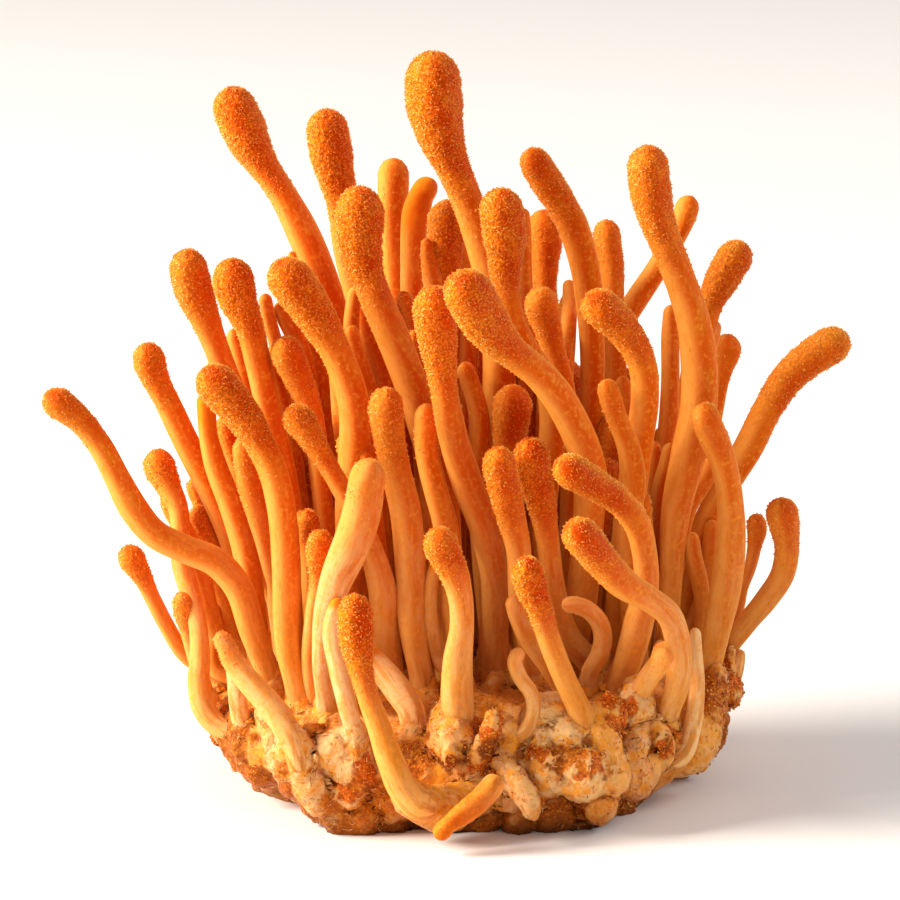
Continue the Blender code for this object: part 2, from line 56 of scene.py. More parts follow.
def addObject(name, data):
    made = bpy.data.objects.new(name, data)
    bpy.context.collection.objects.link(made)
    return made


def aim(thing, place, target):  # a camera or a lamp looks down its own -Z
    thing.location = place
    thing.rotation_euler = (Vector(target) - Vector(place)).to_track_quat("-Z", "Y").to_euler()


# The camera, at the photograph's angle
camera = {
    "distance": 600.0,  # mm from the middle of the bunch
    "drop": 15.0,  # degrees that it looks down
    "width": 90.0,  # mm that the frame takes in at the middle
    "middle": (-0.207, -2.314),  # mm, the spot on the floor that the distance is taken from
    "column": 450, "row": 780,  # where the 900 x 900 picture has that spot
    "scale": 10,  # pixels to a mm there
    "aim": 33.0,  # mm up the picture from that spot
    "sensor": 36.0,
    "clip": (0.01, 10),  # metres
}
viewRise, viewRun = math.sin(math.radians(camera["drop"])), math.cos(math.radians(camera["drop"]))
pixel = 1 / camera["scale"]  # mm


def seen(px, py, depth):  # a point of the picture in metres, at a depth in mm behind the middle
    across, up = (px - camera["column"]) / camera["scale"], (camera["row"] - py) / camera["scale"]
    away = (depth - up * viewRise) / (viewRun + up * viewRise / camera["distance"])
    spread = 1 + away / camera["distance"]
    height = up * spread
    x, y, z = across * spread, height * viewRise + away * viewRun, height * viewRun - away * viewRise
    return np.array([(x + camera["middle"][0]), (y + camera["middle"][1]), z]) * mm


def knotSeen(px, py, width, depth):  # a place and a radius
    return (*seen(px, py, depth), width / 2 * pixel * mm)


def addCamera():
    data = bpy.data.cameras.new("studioCamera")
    data.sensor_width = camera["sensor"]
    data.lens = camera["sensor"] * camera["distance"] / camera["width"]
    data.clip_start, data.clip_end = camera["clip"]
    shooter = addObject("studioCamera", data)
    x, y = camera["middle"]
    stand = Vector((x, y - camera["distance"] * viewRun, camera["distance"] * viewRise)) * mm
    aim(shooter, stand, Vector((x, y + camera["aim"] * viewRise, camera["aim"] * viewRun)) * mm)
    bpy.context.scene.camera = shooter


addCamera()
print("camera stands")


# What the mesh work shares
def readEach(items, word, wide=3, kind=np.float32):  # what each vertex, triangle or value says
    values = np.empty(len(items) * wide, kind)
    items.foreach_get(word, values)
    return values.reshape(-1, wide).astype(float if kind == np.float32 else int)


def vertexPlaces(mesh):
    return readEach(mesh.vertices, "co")


def vertexNormals(mesh):
    return readEach(mesh.vertices, "normal")


def trianglesOf(mesh):
    mesh.calc_loop_triangles()
    return readEach(mesh.loop_triangles, "vertices", 3, np.int32)


def moveVertices(mesh, places):
    mesh.vertices.foreach_set("co", places.astype(np.float32).ravel())


def readAttribute(mesh, name):
    return readEach(mesh.attributes[name].data, "value", 1).ravel()


def keepAttribute(mesh, name, values):  # a number or a vector for each vertex
    kind, word = ("FLOAT_VECTOR", "vector") if np.ndim(values) == 2 else ("FLOAT", "value")
    made = mesh.attributes.new(name, kind, "POINT")
    made.data.foreach_set(word, np.asarray(values, np.float32).ravel())


def closeSeams(gap):  # of the active object; gap in mm
    bpy.ops.object.mode_set(mode="EDIT")
    bpy.ops.mesh.select_all(action="SELECT")
    bpy.ops.mesh.remove_doubles(threshold=gap * mm)
    bpy.ops.mesh.normals_make_consistent(inside=False)
    bpy.ops.object.mode_set(mode="OBJECT")


def modified(piece, kind, **settings):
    modifier = piece.modifiers.new(kind, kind)
    for key, value in settings.items():
        setattr(modifier, key, value)
    bpy.context.view_layer.objects.active = piece
    bpy.ops.object.modifier_apply(modifier=modifier.name)


def displace(piece, texture, strength, group=""):
    look = {"texture": texture, "texture_coords": "LOCAL", "vertex_group": group}
    modified(piece, "DISPLACE", mid_level=0.0, strength=strength, **look)


def weigh(piece, name, weights, levels=20):  # a vertex group
    group = piece.vertex_groups.new(name=name)
    steps = np.round(np.asarray(weights) * levels).astype(int)
    for step in range(1, levels + 1):
        members = np.flatnonzero(steps == step)
        if len(members):
            group.add(members.tolist(), step / levels, "REPLACE")


def joined(name, parts):
    deselect()
    for part in parts:
        part.select_set(True)
    bpy.context.view_layer.objects.active = parts[0]
    bpy.ops.object.join()
    parts[0].name = parts[0].data.name = name
    parts[0].select_set(False)
    return parts[0]


def modelled(addPrimitive, **settings):  # a small shape to copy: its vertices and its faces
    deselect()
    addPrimitive(**settings)
    model = bpy.context.object
    shape, faces = vertexPlaces(model.data), [tuple(face.vertices) for face in model.data.polygons]
    bpy.data.objects.remove(model)
    return shape, faces


def copied(name, points, faces):  # points are (copies, vertices, 3)
    count, each = points.shape[:2]
    mesh = bpy.data.meshes.new(name)
    every = [[v + i * each for v in face] for i in range(count) for face in faces]
    mesh.from_pydata(points.reshape(-1, 3), [], every)
    return addObject(name, mesh)


def strewn(name, points, faces, tones):  # smooth copies, each with a tone of its own
    made = copied(name, points, faces)
    made.data.shade_smooth()
    keepAttribute(made.data, "tone", np.repeat(tones, points.shape[1]))
    return made


def easeOff(value, start, end):  # 1 before start, 0 after end
    t = np.clip((value - start) / (end - start), 0, 1)
    return 1 - t * t * (3 - 2 * t)


def unit(rows):
    return rows / np.linalg.norm(rows, axis=1)[:, None]


# What a stalk's CAD tube says: ring centres and radii, foot first
tube = {
    "corners": 8,  # of one ring
    "flat": 2e-6,  # metres, within which points lie in one plane
    "tipTurn": 25,  # degrees from the top at which its round tip is cut off
}


def tubeRings(node):
    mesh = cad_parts[node].data
    places = vertexPlaces(mesh)
    rounded = np.round(places * 1e6).astype(int)
    _, first, same = np.unique(rounded, axis=0, return_index=True, return_inverse=True)
    places, same = places[first], same.ravel()
    faces = same[trianglesOf(mesh)]
    a, b, c = (places[faces[:, i]] for i in range(3))
    normals = unit(np.cross(b - a, c - a))
    near = {i: set() for i in range(len(places))}
    for face in faces:
        for v in face:
            near[v] |= {*face} - {v}
    ends = []
    for face, normal in zip(faces, normals):  # an end cap is flat and holds all the points of one ring
        off = (places - places[face[0]]) @ normal
        cap = set(np.flatnonzero(np.abs(off) < tube["flat"])) if off.max() < tube["flat"] else set()
        if len(cap) == tube["corners"] and cap not in ends:
            ends.append(cap)
    for cap in ends:
        rings, met, front = [cap], set(cap), cap
        while front:
            front = set().union(*(near[v] for v in front)) - met
            met |= front
            if front:
                rings.append(front)
        if all(len(ring) == tube["corners"] for ring in rings):
            break
    else:
        raise RuntimeError(f"{node} isn't a tube of rings of eight")
    rings = [places[sorted(ring)] for ring in rings]
    centres = np.array([ring.mean(0) for ring in rings])
    radii = np.array([np.linalg.norm(ring - centre, axis=1).mean() for ring, centre in zip(rings, centres)])
    if radii[0] < 0.7 * radii[1]:  # the domed end comes last
        centres, radii = centres[::-1], radii[::-1]
    return centres, radii


def cadKnots(node):  # the tube's knots, with its round tip put back
    centres, radii = tubeRings(node)
    turn = math.radians(tube["tipTurn"])
    headRadius = radii[-1] / math.sin(turn)
    down = centres[-2] - centres[-1]
    tip = centres[-1] - down / np.linalg.norm(down) * headRadius * (1 - math.cos(turn))
    return np.array([*np.column_stack([centres[:-2], radii[:-2]]), (*tip, headRadius)])


# Stalks
stalk = {
    "bedSize": 0.55,  # mm between the low bumps that the grains stand on
    "bedHeight": 0.13,  # mm
    "headStep": 0.17,  # mm between points on a granular head
    "stemStep": 0.7,  # mm between rings on a smooth stem
    "lineStep": 0.05,  # mm between points of its middle line
    "around": (28, 132),  # fewest and most points round it
    "domeShare": 1.15,  # length of the round tip, in head radii
    "footFlare": 0.3,  # how much wider a foot is where it leaves the mat
    "footReach": 2.2,  # mm that a foot goes down into the mat
    "ovalShare": 0.03,  # how far a stem is from round
    "paintedShadeTurn": 28.0,  # degrees that the painted shade's redder side is turned to the right of the front
    "fullFeet": ("stub_front", "stalk_front_01", "stalk_front_09"),  # they don't go into the mat
    "stubMove": (0.2, 0.4, -1.0, 0.25),  # mm, which brings the stub's blunt end down to the floor
}

# Each stalk of a side, in the CAD's order: length of its granular head in mm, how grainy that is,
# how pale its stem is, how red its head is
headLooks = {
    "front": [
        (7.5, 1.0, 0.15, 1.0), (4.5, 0.9, 0.35, 0.8), (6.0, 1.0, 0.15, 1.0), (4.0, 0.3, 0.85, 0.1),
        (2.0, 0.1, 0.3, 0.1), (2.0, 0.1, 0.4, 0.1), (1.5, 0.1, 0.5, 0.1), (2.5, 0.3, 0.4, 0.2),
        (3.0, 0.5, 0.5, 0.5),
    ],
    "left": [
        (5.0, 0.8, 0.15, 0.6), (5.0, 0.8, 0.1, 0.4), (6.5, 0.9, 0.1, 0.5), (7.0, 1.0, 0.1, 0.6),
        (9.0, 1.0, 0.1, 0.6), (8.5, 1.0, 0.1, 0.6), (9.0, 1.0, 0.1, 0.6), (9.5, 1.0, 0.1, 0.5),
        (3.0, 0.0, 0.1, 0.2), (7.0, 0.5, 0.2, 0.3), (7.0, 0.7, 0.1, 0.5), (4.0, 0.8, 0.2, 0.4),
        (6.5, 0.9, 0.25, 0.5),
    ],
    "mid": [
        (10.0, 1.0, 0.1, 0.8), (13.0, 1.0, 0.0, 0.8), (8.0, 0.15, 0.0, 0.9), (5.0, 0.0, 0.1, 0.4),
        (8.0, 0.9, 0.0, 0.5), (9.5, 1.0, 0.0, 0.7), (7.0, 0.6, 0.0, 0.7), (8.0, 0.8, 0.0, 0.8),
        (10.0, 1.0, 0.1, 0.8), (9.5, 1.0, 0.25, 0.5), (7.0, 0.8, 0.25, 0.5), (4.0, 0.3, 0.1, 0.4),
        (3.0, 0.2, 0.0, 0.4), (6.0, 0.7, 0.0, 0.9), (6.0, 0.6, 0.0, 0.5), (7.0, 0.9, 0.2, 0.7),
        (8.0, 1.0, 0.2, 0.6),
    ],
    "right": [
        (10.0, 0.9, 0.15, 0.6), (5.0, 0.6, 0.0, 0.6), (3.0, 0.2, 0.0, 0.6), (7.0, 0.9, 0.0, 0.6),
        (4.5, 0.4, 0.0, 0.8), (10.0, 0.8, 0.0, 0.7), (7.5, 0.9, 0.0, 0.7), (4.0, 0.4, 0.1, 0.4),
        (5.0, 0.4, 0.2, 0.5), (5.0, 0.6, 0.2, 0.9), (8.5, 0.9, 0.2, 0.8), (6.5, 0.9, 0.4, 1.0),
    ],
}
stubLook = (6.0, 0.7, 0.0, 1.0)

# The low bumps of a head
bumps = bpy.data.textures.new("bumps", "VORONOI")
bumps.noise_scale = stalk["bedSize"] * mm
bumps.noise_intensity = 1.2


def smoothLine(knots, spacing):  # a smooth run through knots of (x, y, z, radius)
    gaps = np.maximum(np.linalg.norm(np.diff(knots[:, :3], axis=0), axis=1), 1e-7)
    at = np.concatenate([[0], np.cumsum(gaps)])
    slopes = np.diff(knots, axis=0) / gaps[:, None]
    leans = np.empty_like(knots)
    leans[0], leans[-1] = slopes[0], slopes[-1]
    before, after = gaps[:-1, None], gaps[1:, None]
    leans[1:-1] = (slopes[:-1] * after + slopes[1:] * before) / (after + before)
    turns = np.flatnonzero(slopes[:-1, 3] * slopes[1:, 3] <= 0) + 1
    leans[turns, 3] = 0
    ask = np.linspace(0, at[-1], max(int(at[-1] / spacing), 8))
    i = np.clip(np.searchsorted(at, ask, side="right") - 1, 0, len(gaps) - 1)
    gap = gaps[i][:, None]
    t = ((ask - at[i]) / gaps[i])[:, None]
    return (
        (2 * t**3 - 3 * t**2 + 1) * knots[i]
        + (t**3 - 2 * t**2 + t) * gap * leans[i]
        + (3 * t**2 - 2 * t**3) * knots[i + 1]
        + (t**3 - t**2) * gap * leans[i + 1]
    )


def ringSpots(length, headRadius, footRadius, headLength):  # distances from the tip at which rings stand
    dome = stalk["domeShare"] * headRadius
    turn = np.linspace(0, math.pi / 2, max(int(1.57 * headRadius / (stalk["headStep"] * mm)), 8))
    spots = list(dome * (1 - np.cos(turn)))
    while spots[-1] < length - footRadius:
        club = easeOff(spots[-1], 0.8 * headLength, 1.9 * headLength)
        spots.append(spots[-1] + (stalk["stemStep"] + (stalk["headStep"] - stalk["stemStep"]) * club) * mm)
    start = spots.pop()
    spots += list(length - (length - start) * np.cos(np.linspace(0, math.pi / 2, 6)))
    return np.array(spots)


def growTube(name, knots, look, seed, coarse=1.0):  # knots from foot to tip: (x, y, z, radius) in metres
    headLength, grainy, pale, red = look
    headLength *= mm
    line = smoothLine(knots, stalk["lineStep"] * mm)
    steps = np.linalg.norm(np.diff(line[:, :3], axis=0), axis=1)
    along = np.concatenate([[0], np.cumsum(steps)])
    length = along[-1]
    headRadius, footRadius = knots[-1, 3], knots[0, 3]
    spots = ringSpots(length, headRadius, footRadius, headLength)
    rings = np.stack([np.interp(length - spots, along, line[:, i]) for i in range(4)], axis=1)
    ahead = np.clip(spots / (stalk["domeShare"] * headRadius), 0, 1)
    behind = np.clip((length - spots) / footRadius, 0, 1)
    radii = rings[:, 3] * np.sqrt(1 - (1 - ahead) ** 2) * np.sqrt(1 - (1 - behind) ** 2)
    widest = rings[:, 3].max()
    around = int(np.clip(2 * math.pi * widest / (stalk["headStep"] * mm * coarse), *stalk["around"]))
    headings = np.gradient(rings[:, :3], axis=0)
    headings /= np.linalg.norm(headings, axis=1)[:, None] + 1e-12
    side = np.cross(headings[0], (0.0, 1.0, 0.0))
    sides = []
    for heading in headings:  # carried along without twist
        side = side - heading * (side @ heading)
        side /= np.linalg.norm(side)
        sides.append(side)
    sides = np.array(sides)
    fronts = np.cross(headings, sides)

    bpy.ops.mesh.primitive_grid_add(x_subdivisions=around, y_subdivisions=len(spots) - 1, size=1)
    piece = bpy.context.object
    piece.name = piece.data.name = name
    mesh = piece.data
    flat = vertexPlaces(mesh)
    turn = (flat[:, 0] + 0.5) * 2 * math.pi
    ring = np.round((flat[:, 1] + 0.5) * (len(spots) - 1)).astype(int)
    phase = np.random.default_rng(seed).uniform(0, 6.28, 6)
    travel = spots[ring] / mm
    wobble = (
        np.sin(2 * turn + phase[0] + travel / 7)
        + 0.6 * np.sin(3 * turn + phase[1] - travel / 5)
        + 0.35 * np.sin(5 * turn + phase[2] + travel / 9)
        + 0.5 * np.sin(turn + phase[3]) * np.sin(travel / 2.3 + phase[4])
    )
    reach = radii[ring] * (1 + stalk["ovalShare"] * wobble * np.clip(travel / 3, 0.2, 1))
    outward = np.cos(turn)[:, None] * sides[ring] + np.sin(turn)[:, None] * fronts[ring]
    moveVertices(mesh, rings[ring, :3] + reach[:, None] * outward)
    # The facing mask paints light: shade where a stalk faces front or back, and a rim highlight on its sides
    lean = math.radians(stalk["paintedShadeTurn"]) + phase[5] / 20
    facing = np.abs(outward @ (math.sin(lean), -math.cos(lean), 0.0))
    across = widest / mm
    keepAttribute(mesh, "club", easeOff(spots[ring], 0.75 * headLength, 1.7 * headLength))
    keepAttribute(mesh, "paintedShade", 1 - easeOff(facing, 0.3, 0.95))  # painted shade: redder in front and behind; the low sides take a painted rim highlight
    keepAttribute(mesh, "rise", (length - spots[ring]) / mm)
    fibre = (np.cos(turn) * across, np.sin(turn) * across, travel + seed * 7.3)
    keepAttribute(mesh, "fibre", np.stack(fibre, 1))
    keepAttribute(mesh, "pale", np.full(len(turn), pale))
    keepAttribute(mesh, "red", np.full(len(turn), red))
    closeSeams(0.002)
    bpy.ops.object.shade_smooth()
    weights = readAttribute(mesh, "club") * grainy
    keepAttribute(mesh, "dust", weights)
    if grainy > 0.05:
        weigh(piece, "club", weights)
        displace(piece, bumps, -stalk["bedHeight"] * mm, "club")
    piece.select_set(False)
    return piece


def rooted(knots):  # the foot widens and goes on down into the mat
    first, second = knots[0], knots[1]
    back = (first - second)[:3] / np.linalg.norm((first - second)[:3])
    way = back * 0.5 + np.array((0, 0, -0.5))
    way /= np.linalg.norm(way)
    under = (*(first[:3] + way * stalk["footReach"] * mm), first[3] * (1 + stalk["footFlare"]))
    return np.vstack([under, knots])


feet = []  # where each stalk and sprout meets the mat, with its radius there
stalkPieces = []
looks = {"stub_front": stubLook}
for side, rows in headLooks.items():
    looks.update({f"stalk_{side}_{i:02d}": look for i, look in enumerate(rows, 1)})
for order, node in enumerate(sorted(looks)):
    deselect()
    knots = cadKnots(node)
    if node not in stalk["fullFeet"]:
        feet.append((knots[0, :3], knots[0, 3]))
        knots = rooted(knots)
    if node == "stub_front":
        knots[-1] += np.array(stalk["stubMove"]) * mm
    piece = growTube("skin_" + node, knots, looks[node], order)
    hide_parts(node)
    stalkPieces.append(piece)
print("stalks grown:", len(stalkPieces), "with", sum(len(p.data.polygons) for p in stalkPieces), "faces")


# Small sprouts that stand between the stalks, joined to one piece for each tuft. Each: depth of its tip,
# its foot as (x, y) on the mat or the depth of its last point, its look, (px, py, width in px) from the tip
budLook, bareLook = (3.0, 0.6, 0.1, 0.5), (2.0, 0.0, 0.1, 0.2)
sprouts = {
    "tuft_left": [
        (1, -8, (4.0, 0.8, 0.35, 0.5), [(157, 448, 30), (159, 466, 33), (168, 487, 26), (178, 510, 20),
         (180, 540, 19), (182, 565, 20), (190, 592, 20), (198, 625, 18), (200, 655, 20), (199, 685, 22),
         (204, 708, 24), (216, 724, 23), (233, 732, 22), (250, 733, 18)]),
        (0, (-19.5, -1), (3.5, 0.7, 0.1, 0.5), [(172, 485, 22), (172, 501, 24), (181, 526, 20),
         (192, 548, 20), (200, 572, 21), (206, 600, 20), (216, 630, 17)]),
        (2, (-18.5, 3), (4.0, 0.8, 0.1, 0.5), [(198, 505, 24), (201, 521, 26), (209, 542, 22),
         (214, 575, 22), (224, 605, 22), (238, 640, 22)]),
        (5, (-17, 7), budLook, [(195, 477, 18), (196, 488, 20), (203, 510, 18), (216, 560, 18)]),
    ],
    "tuft_left_low": [
        (-4, (-24, -1), (3.5, 0.7, 0.2, 0.5), [(183, 592, 24), (185, 608, 26), (189, 630, 19),
         (195, 655, 17)]),
        (-9, -10.5, (2.0, 0.0, 0.7, 0.1), [(228, 640, 12), (234, 668, 16), (238, 700, 18),
         (243, 730, 20)]),
    ],
    "tuft_mid": [
        (-4, (-7.5, -1), (4.0, 0.7, 0.0, 0.6), [(353, 390, 24), (355, 410, 29), (361, 431, 24),
         (369, 455, 22), (378, 520, 20)]),
        (-4, (-9, -3.4), budLook, [(345, 432, 20), (347, 448, 22), (353, 475, 20), (360, 540, 18)]),
        (-7, (-6.8, -4.6), (4.0, 0.7, 0.0, 0.6), [(365, 443, 24), (366, 459, 27), (368, 482, 24),
         (376, 540, 20)]),
    ],
    "tuft_front_left": [
        (-10, (-13, -5.5), (3.5, 0.8, 0.0, 0.9), [(307, 510, 24), (307, 523, 26), (309, 550, 22),
         (312, 610, 18)]),
        (-14.5, -9.5, (5.0, 0.9, 0.3, 0.4), [(320, 530, 26), (320, 551, 28), (320, 578, 21),
         (313, 618, 16), (309, 660, 15), (313, 700, 15), (317, 722, 16)]),
    ],
    "tuft_right": [
        (9, (17.8, 8), bareLook, [(672, 304, 15), (671, 340, 18), (671, 372, 18), (668, 430, 20),
         (655, 500, 20)]),
        (5, (18.4, 5), bareLook, [(655, 441, 13), (653, 465, 16), (650, 492, 16), (648, 560, 18)]),
        (4, (19.6, 6), bareLook, [(671, 443, 14), (668, 462, 18), (660, 485, 18), (655, 550, 18)]),
        (-3, (18.6, 1), budLook, [(640, 491, 20), (641, 505, 22), (644, 530, 20), (646, 600, 20)]),
        (7, (21, 9), bareLook, [(622, 376, 15), (626, 400, 18), (632, 460, 19)]),
        (2, (21.6, 3.4), bareLook, [(716, 455, 14), (706, 478, 18), (690, 502, 20), (676, 560, 20)]),
    ],
}
looseSprouts = {  # these have no solid of their own
    "sprouts_behind_left": [
        (-1, (-13, 3.4), bareLook, [(273, 346, 16), (277, 375, 18), (283, 402, 18), (289, 432, 18)]),
        (3, (-12, 5), bareLook, [(264, 293, 13), (268, 315, 14), (276, 345, 14), (290, 420, 16)]),
        (4, (-10, 5.6), bareLook, [(277, 302, 16), (289, 325, 19), (300, 348, 19), (312, 430, 20)]),
        (6, (-9, 7), bareLook, [(290, 306, 18), (302, 330, 22), (312, 352, 22), (322, 430, 22)]),
        (7, (-16, 7), bareLook, [(232, 328, 16), (238, 350, 18), (252, 420, 17)]),
        (2, (-19.4, 2), bareLook, [(213, 600, 15), (214, 632, 19), (215, 666, 20)]),
        (6, (-15, 6), budLook, [(222, 416, 19), (228, 440, 24), (235, 465, 21), (246, 530, 19)]),
        (5, (-8, 6.4), bareLook, [(355, 286, 13), (351, 320, 16), (352, 352, 17), (362, 430, 18)]),
        (2, (-6.6, 3), bareLook, [(350, 325, 14), (358, 358, 17), (369, 392, 18), (380, 450, 18)]),
        (13, (-14, 10), budLook, [(291, 250, 9), (293, 262, 11), (300, 300, 12)]),
    ],
    "sprouts_behind_middle": [
        (8, (6.4, 6.6), bareLook, [(524, 207, 11), (524, 240, 16), (525, 280, 16), (529, 312, 16),
         (537, 340, 17)]),
        (12, (-1.6, 9.6), budLook, [(426, 237, 12), (429, 262, 17), (435, 289, 21), (440, 315, 20),
         (444, 400, 20)]),
        (9, (-3.2, 7.6), budLook, [(401, 290, 15), (408, 309, 18), (412, 335, 18), (420, 420, 19)]),
        (2, (-2.4, 3), budLook, [(413, 329, 13), (416, 345, 16), (422, 400, 18)]),
        (15, (10, 9), budLook, [(572, 293, 18), (564, 318, 19), (559, 345, 18), (556, 420, 18)]),
        (12, (2, 12), (5.0, 0.6, 0.0, 0.9), [(470, 330, 18), (468, 350, 22), (466, 390, 22),
         (466, 450, 20)]),
        (10, (10.6, 8.4), (5.0, 0.5, 0.0, 0.7), [(560, 340, 18), (558, 362, 22), (556, 400, 20),
         (556, 470, 20)]),
        (9, (-4.4, 9), (4.0, 0.5, 0.0, 0.7), [(392, 300, 18), (390, 322, 22), (394, 360, 20),
         (404, 430, 20)]),
        (22, (18, 12), bareLook, [(716, 322, 14), (712, 338, 16), (700, 380, 16)]),
        (17, (1, 12), bareLook, [(465, 234, 12), (466, 258, 16), (467, 300, 18)]),
        (9, (6.6, 8), (4.0, 0.3, 0.0, 0.8), [(528, 344, 20), (527, 372, 25), (525, 400, 25),
         (524, 450, 24)]),
        (16, (10.6, 10), bareLook, [(569, 280, 12), (570, 300, 15), (568, 330, 17)]),
    ],
    "sprouts_right": [
        (0, (23.4, 5), bareLook, [(691, 533, 14), (694, 557, 18), (700, 584, 18), (702, 606, 15),
         (699, 628, 14)]),
        (5, (25, 8), (3.0, 0.6, 0.2, 0.6), [(756, 514, 19), (757, 529, 21), (755, 545, 16),
         (749, 572, 12), (743, 588, 11), (739, 606, 12)]),
        (-9, -12.5, (1.0, 0.0, 0.9, 0.0), [(695, 628, 11), (695, 650, 14), (697, 684, 15), (693, 722, 17),
         (683, 755, 18), (670, 767, 19)]),
        (-3, -6, (1.0, 0.0, 0.7, 0.0), [(704, 700, 12), (705, 730, 16), (701, 758, 20), (694, 772, 20)]),
        (-6, -9, (1.0, 0.0, 0.8, 0.0), [(660, 640, 14), (662, 680, 20), (660, 715, 24), (652, 742, 26)]),
        (6, 3, (1.0, 0.2, 0.3, 0.2), [(740, 650, 12), (737, 666, 15), (731, 684, 18)]),
        (4, (22.4, 5), bareLook, [(712, 520, 13), (711, 545, 18), (708, 580, 20)]),
    ],
    "sprouts_front": [
        (-17.5, -21, (1.0, 0.0, 0.9, 0.0), [(339, 598, 14), (332, 627, 18), (338, 665, 19),
         (347, 703, 19), (355, 738, 16), (358, 758, 20)]),
        (-11, -9.4, (1.0, 0.0, 0.3, 0.0), [(437, 558, 11), (430, 590, 14), (430, 620, 16), (437, 650, 16),
         (444, 672, 17)]),
        (-13, -16.5, (1.0, 0.0, 0.75, 0.0), [(366, 650, 20), (383, 672, 25), (399, 692, 27),
         (412, 713, 26), (414, 738, 26)]),
    ],
}
mound = {  # mm, the mat's plan and how high above the floor hidden feet stand
    "shift": 1, "halfWide": 27, "halfDeep": 22.6, "top": 10.0, "fall": 3.6,
}
backSprouts = {  # the unseen back is as full as the front: club-headed sprouts that lean away
    "count": 15, "lowest": 20.0, "tallest": 37.0, "lean": 0.38,
    "reach": (25, 20.5),  # mm, how far out they stand to the side and to the back
    "thick": (1.0, 1.7),  # mm, times the widths below
    "widths": ((0, 1.05), (0.25, 0.9), (0.5, 0.85), (0.72, 0.9), (0.86, 1.25), (0.93, 1.35), (1.0, 1.35)),
}


def matRest(x, y):  # mm above the floor
    share = math.hypot((x - mound["shift"]) / mound["halfWide"], y / mound["halfDeep"])
    return mound["top"] - mound["fall"] * min(share, 1) ** 6


def planted(knots):  # notes the foot and roots it
    feet.append((np.array(knots[0][:3]), knots[0][3]))
    return rooted(np.array(knots))


def drawnKnots(tipDepth, foot, route):
    spots = np.array(route[::-1], float)
    steps = np.linalg.norm(np.diff(spots[:, :2], axis=0), axis=1)
    share = np.concatenate([[0], np.cumsum(steps)])
    standing = isinstance(foot, tuple)
    if standing:  # its foot is out of sight, a quarter of the way further
        share += 0.25 * share[-1]
    share /= share[-1]
    depths = (foot[1] if standing else foot) * (1 - share) + tipDepth * share
    knots = [knotSeen(*spot, depth) for spot, depth in zip(spots, depths)]
    if not standing:
        return np.array(knots)
    x, y = foot[0] + camera["middle"][0], foot[1] + camera["middle"][1]
    return planted([(x * mm, y * mm, matRest(*foot) * mm, knots[0][3] * 1.1), *knots])


def tuft(node, parts):
    piece = joined("skin_" + node, parts)
    if node not in looseSprouts:
        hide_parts(node)
    return piece


sproutPieces = []
seed = 100
for node, rows in [*sprouts.items(), *looseSprouts.items()]:
    parts = []
    for tipDepth, foot, look, route in rows:
        deselect()
        seed += 1
        parts.append(growTube("bud", drawnKnots(tipDepth, foot, route), look, seed, 1.5))
    sproutPieces.append(tuft(node, parts))


def growBack(name, side, node):
    dice = random.Random(name)
    low, tall = backSprouts["lowest"], backSprouts["tallest"]
    parts = []
    for i in range(backSprouts["count"]):
        share = (i + 0.5) / backSprouts["count"]
        angle = math.radians(20 + 68 * share + dice.uniform(-5, 5))
        reach = 0.5 + 0.4 * ((i * 0.618) % 1)
        x = side * math.cos(angle) * backSprouts["reach"][0] * reach + mound["shift"]
        y = math.sin(angle) * backSprouts["reach"][1] * reach
        height = low + (tall - low) * share * (1.35 - 0.6 * reach) + dice.uniform(-3, 3)
        lean = backSprouts["lean"] * height * reach
        bend = dice.uniform(-2.5, 2.5)
        thick = dice.uniform(*backSprouts["thick"])
        out = np.array((side * math.cos(angle) * 0.8, math.sin(angle), 0))
        across = np.array((-out[1], out[0], 0))
        knots = []
        for t, width in backSprouts["widths"]:
            place = np.array((x, y, matRest(x, y))) + out * lean * t**1.6
            place = place + across * bend * math.sin(3.1 * t) + np.array((0, 0, height * t))
            place[:2] += camera["middle"]
            knots.append((*(place * mm), width * thick * mm))
        look = (4.5 + thick, dice.uniform(0.6, 1.0), dice.uniform(0, 0.3), dice.uniform(0.3, 0.8))
        deselect()
        parts.append(growTube("bud", planted(knots), look, 200 + i * 2 + (side > 0), 1.6))
    return tuft(node, parts)


sproutPieces += [growBack("back left", -1, "tuft_back_left"), growBack("back right", 1, "tuft_back_right")]
print("sprouts grown:", len(sproutPieces), "with", sum(len(p.data.polygons) for p in sproutPieces), "faces")


# Grains: short pointed ones that stand all over the heads, joined to one piece for each group of stalks
grain = {
    "spacing": 0.295,  # mm, drawn a little coarse so that they show
    "long": (0.2, 0.42), "thick": (0.17, 0.26),  # mm
    "lean": 0.5,  # how far they lean from upright
    "sunk": 0.4,  # share of the length that is in the flesh
    "plainShare": 0.6,  # how much of a grain's paleness is its own; the rest is a painted rim highlight, paler on the sides of the head
}


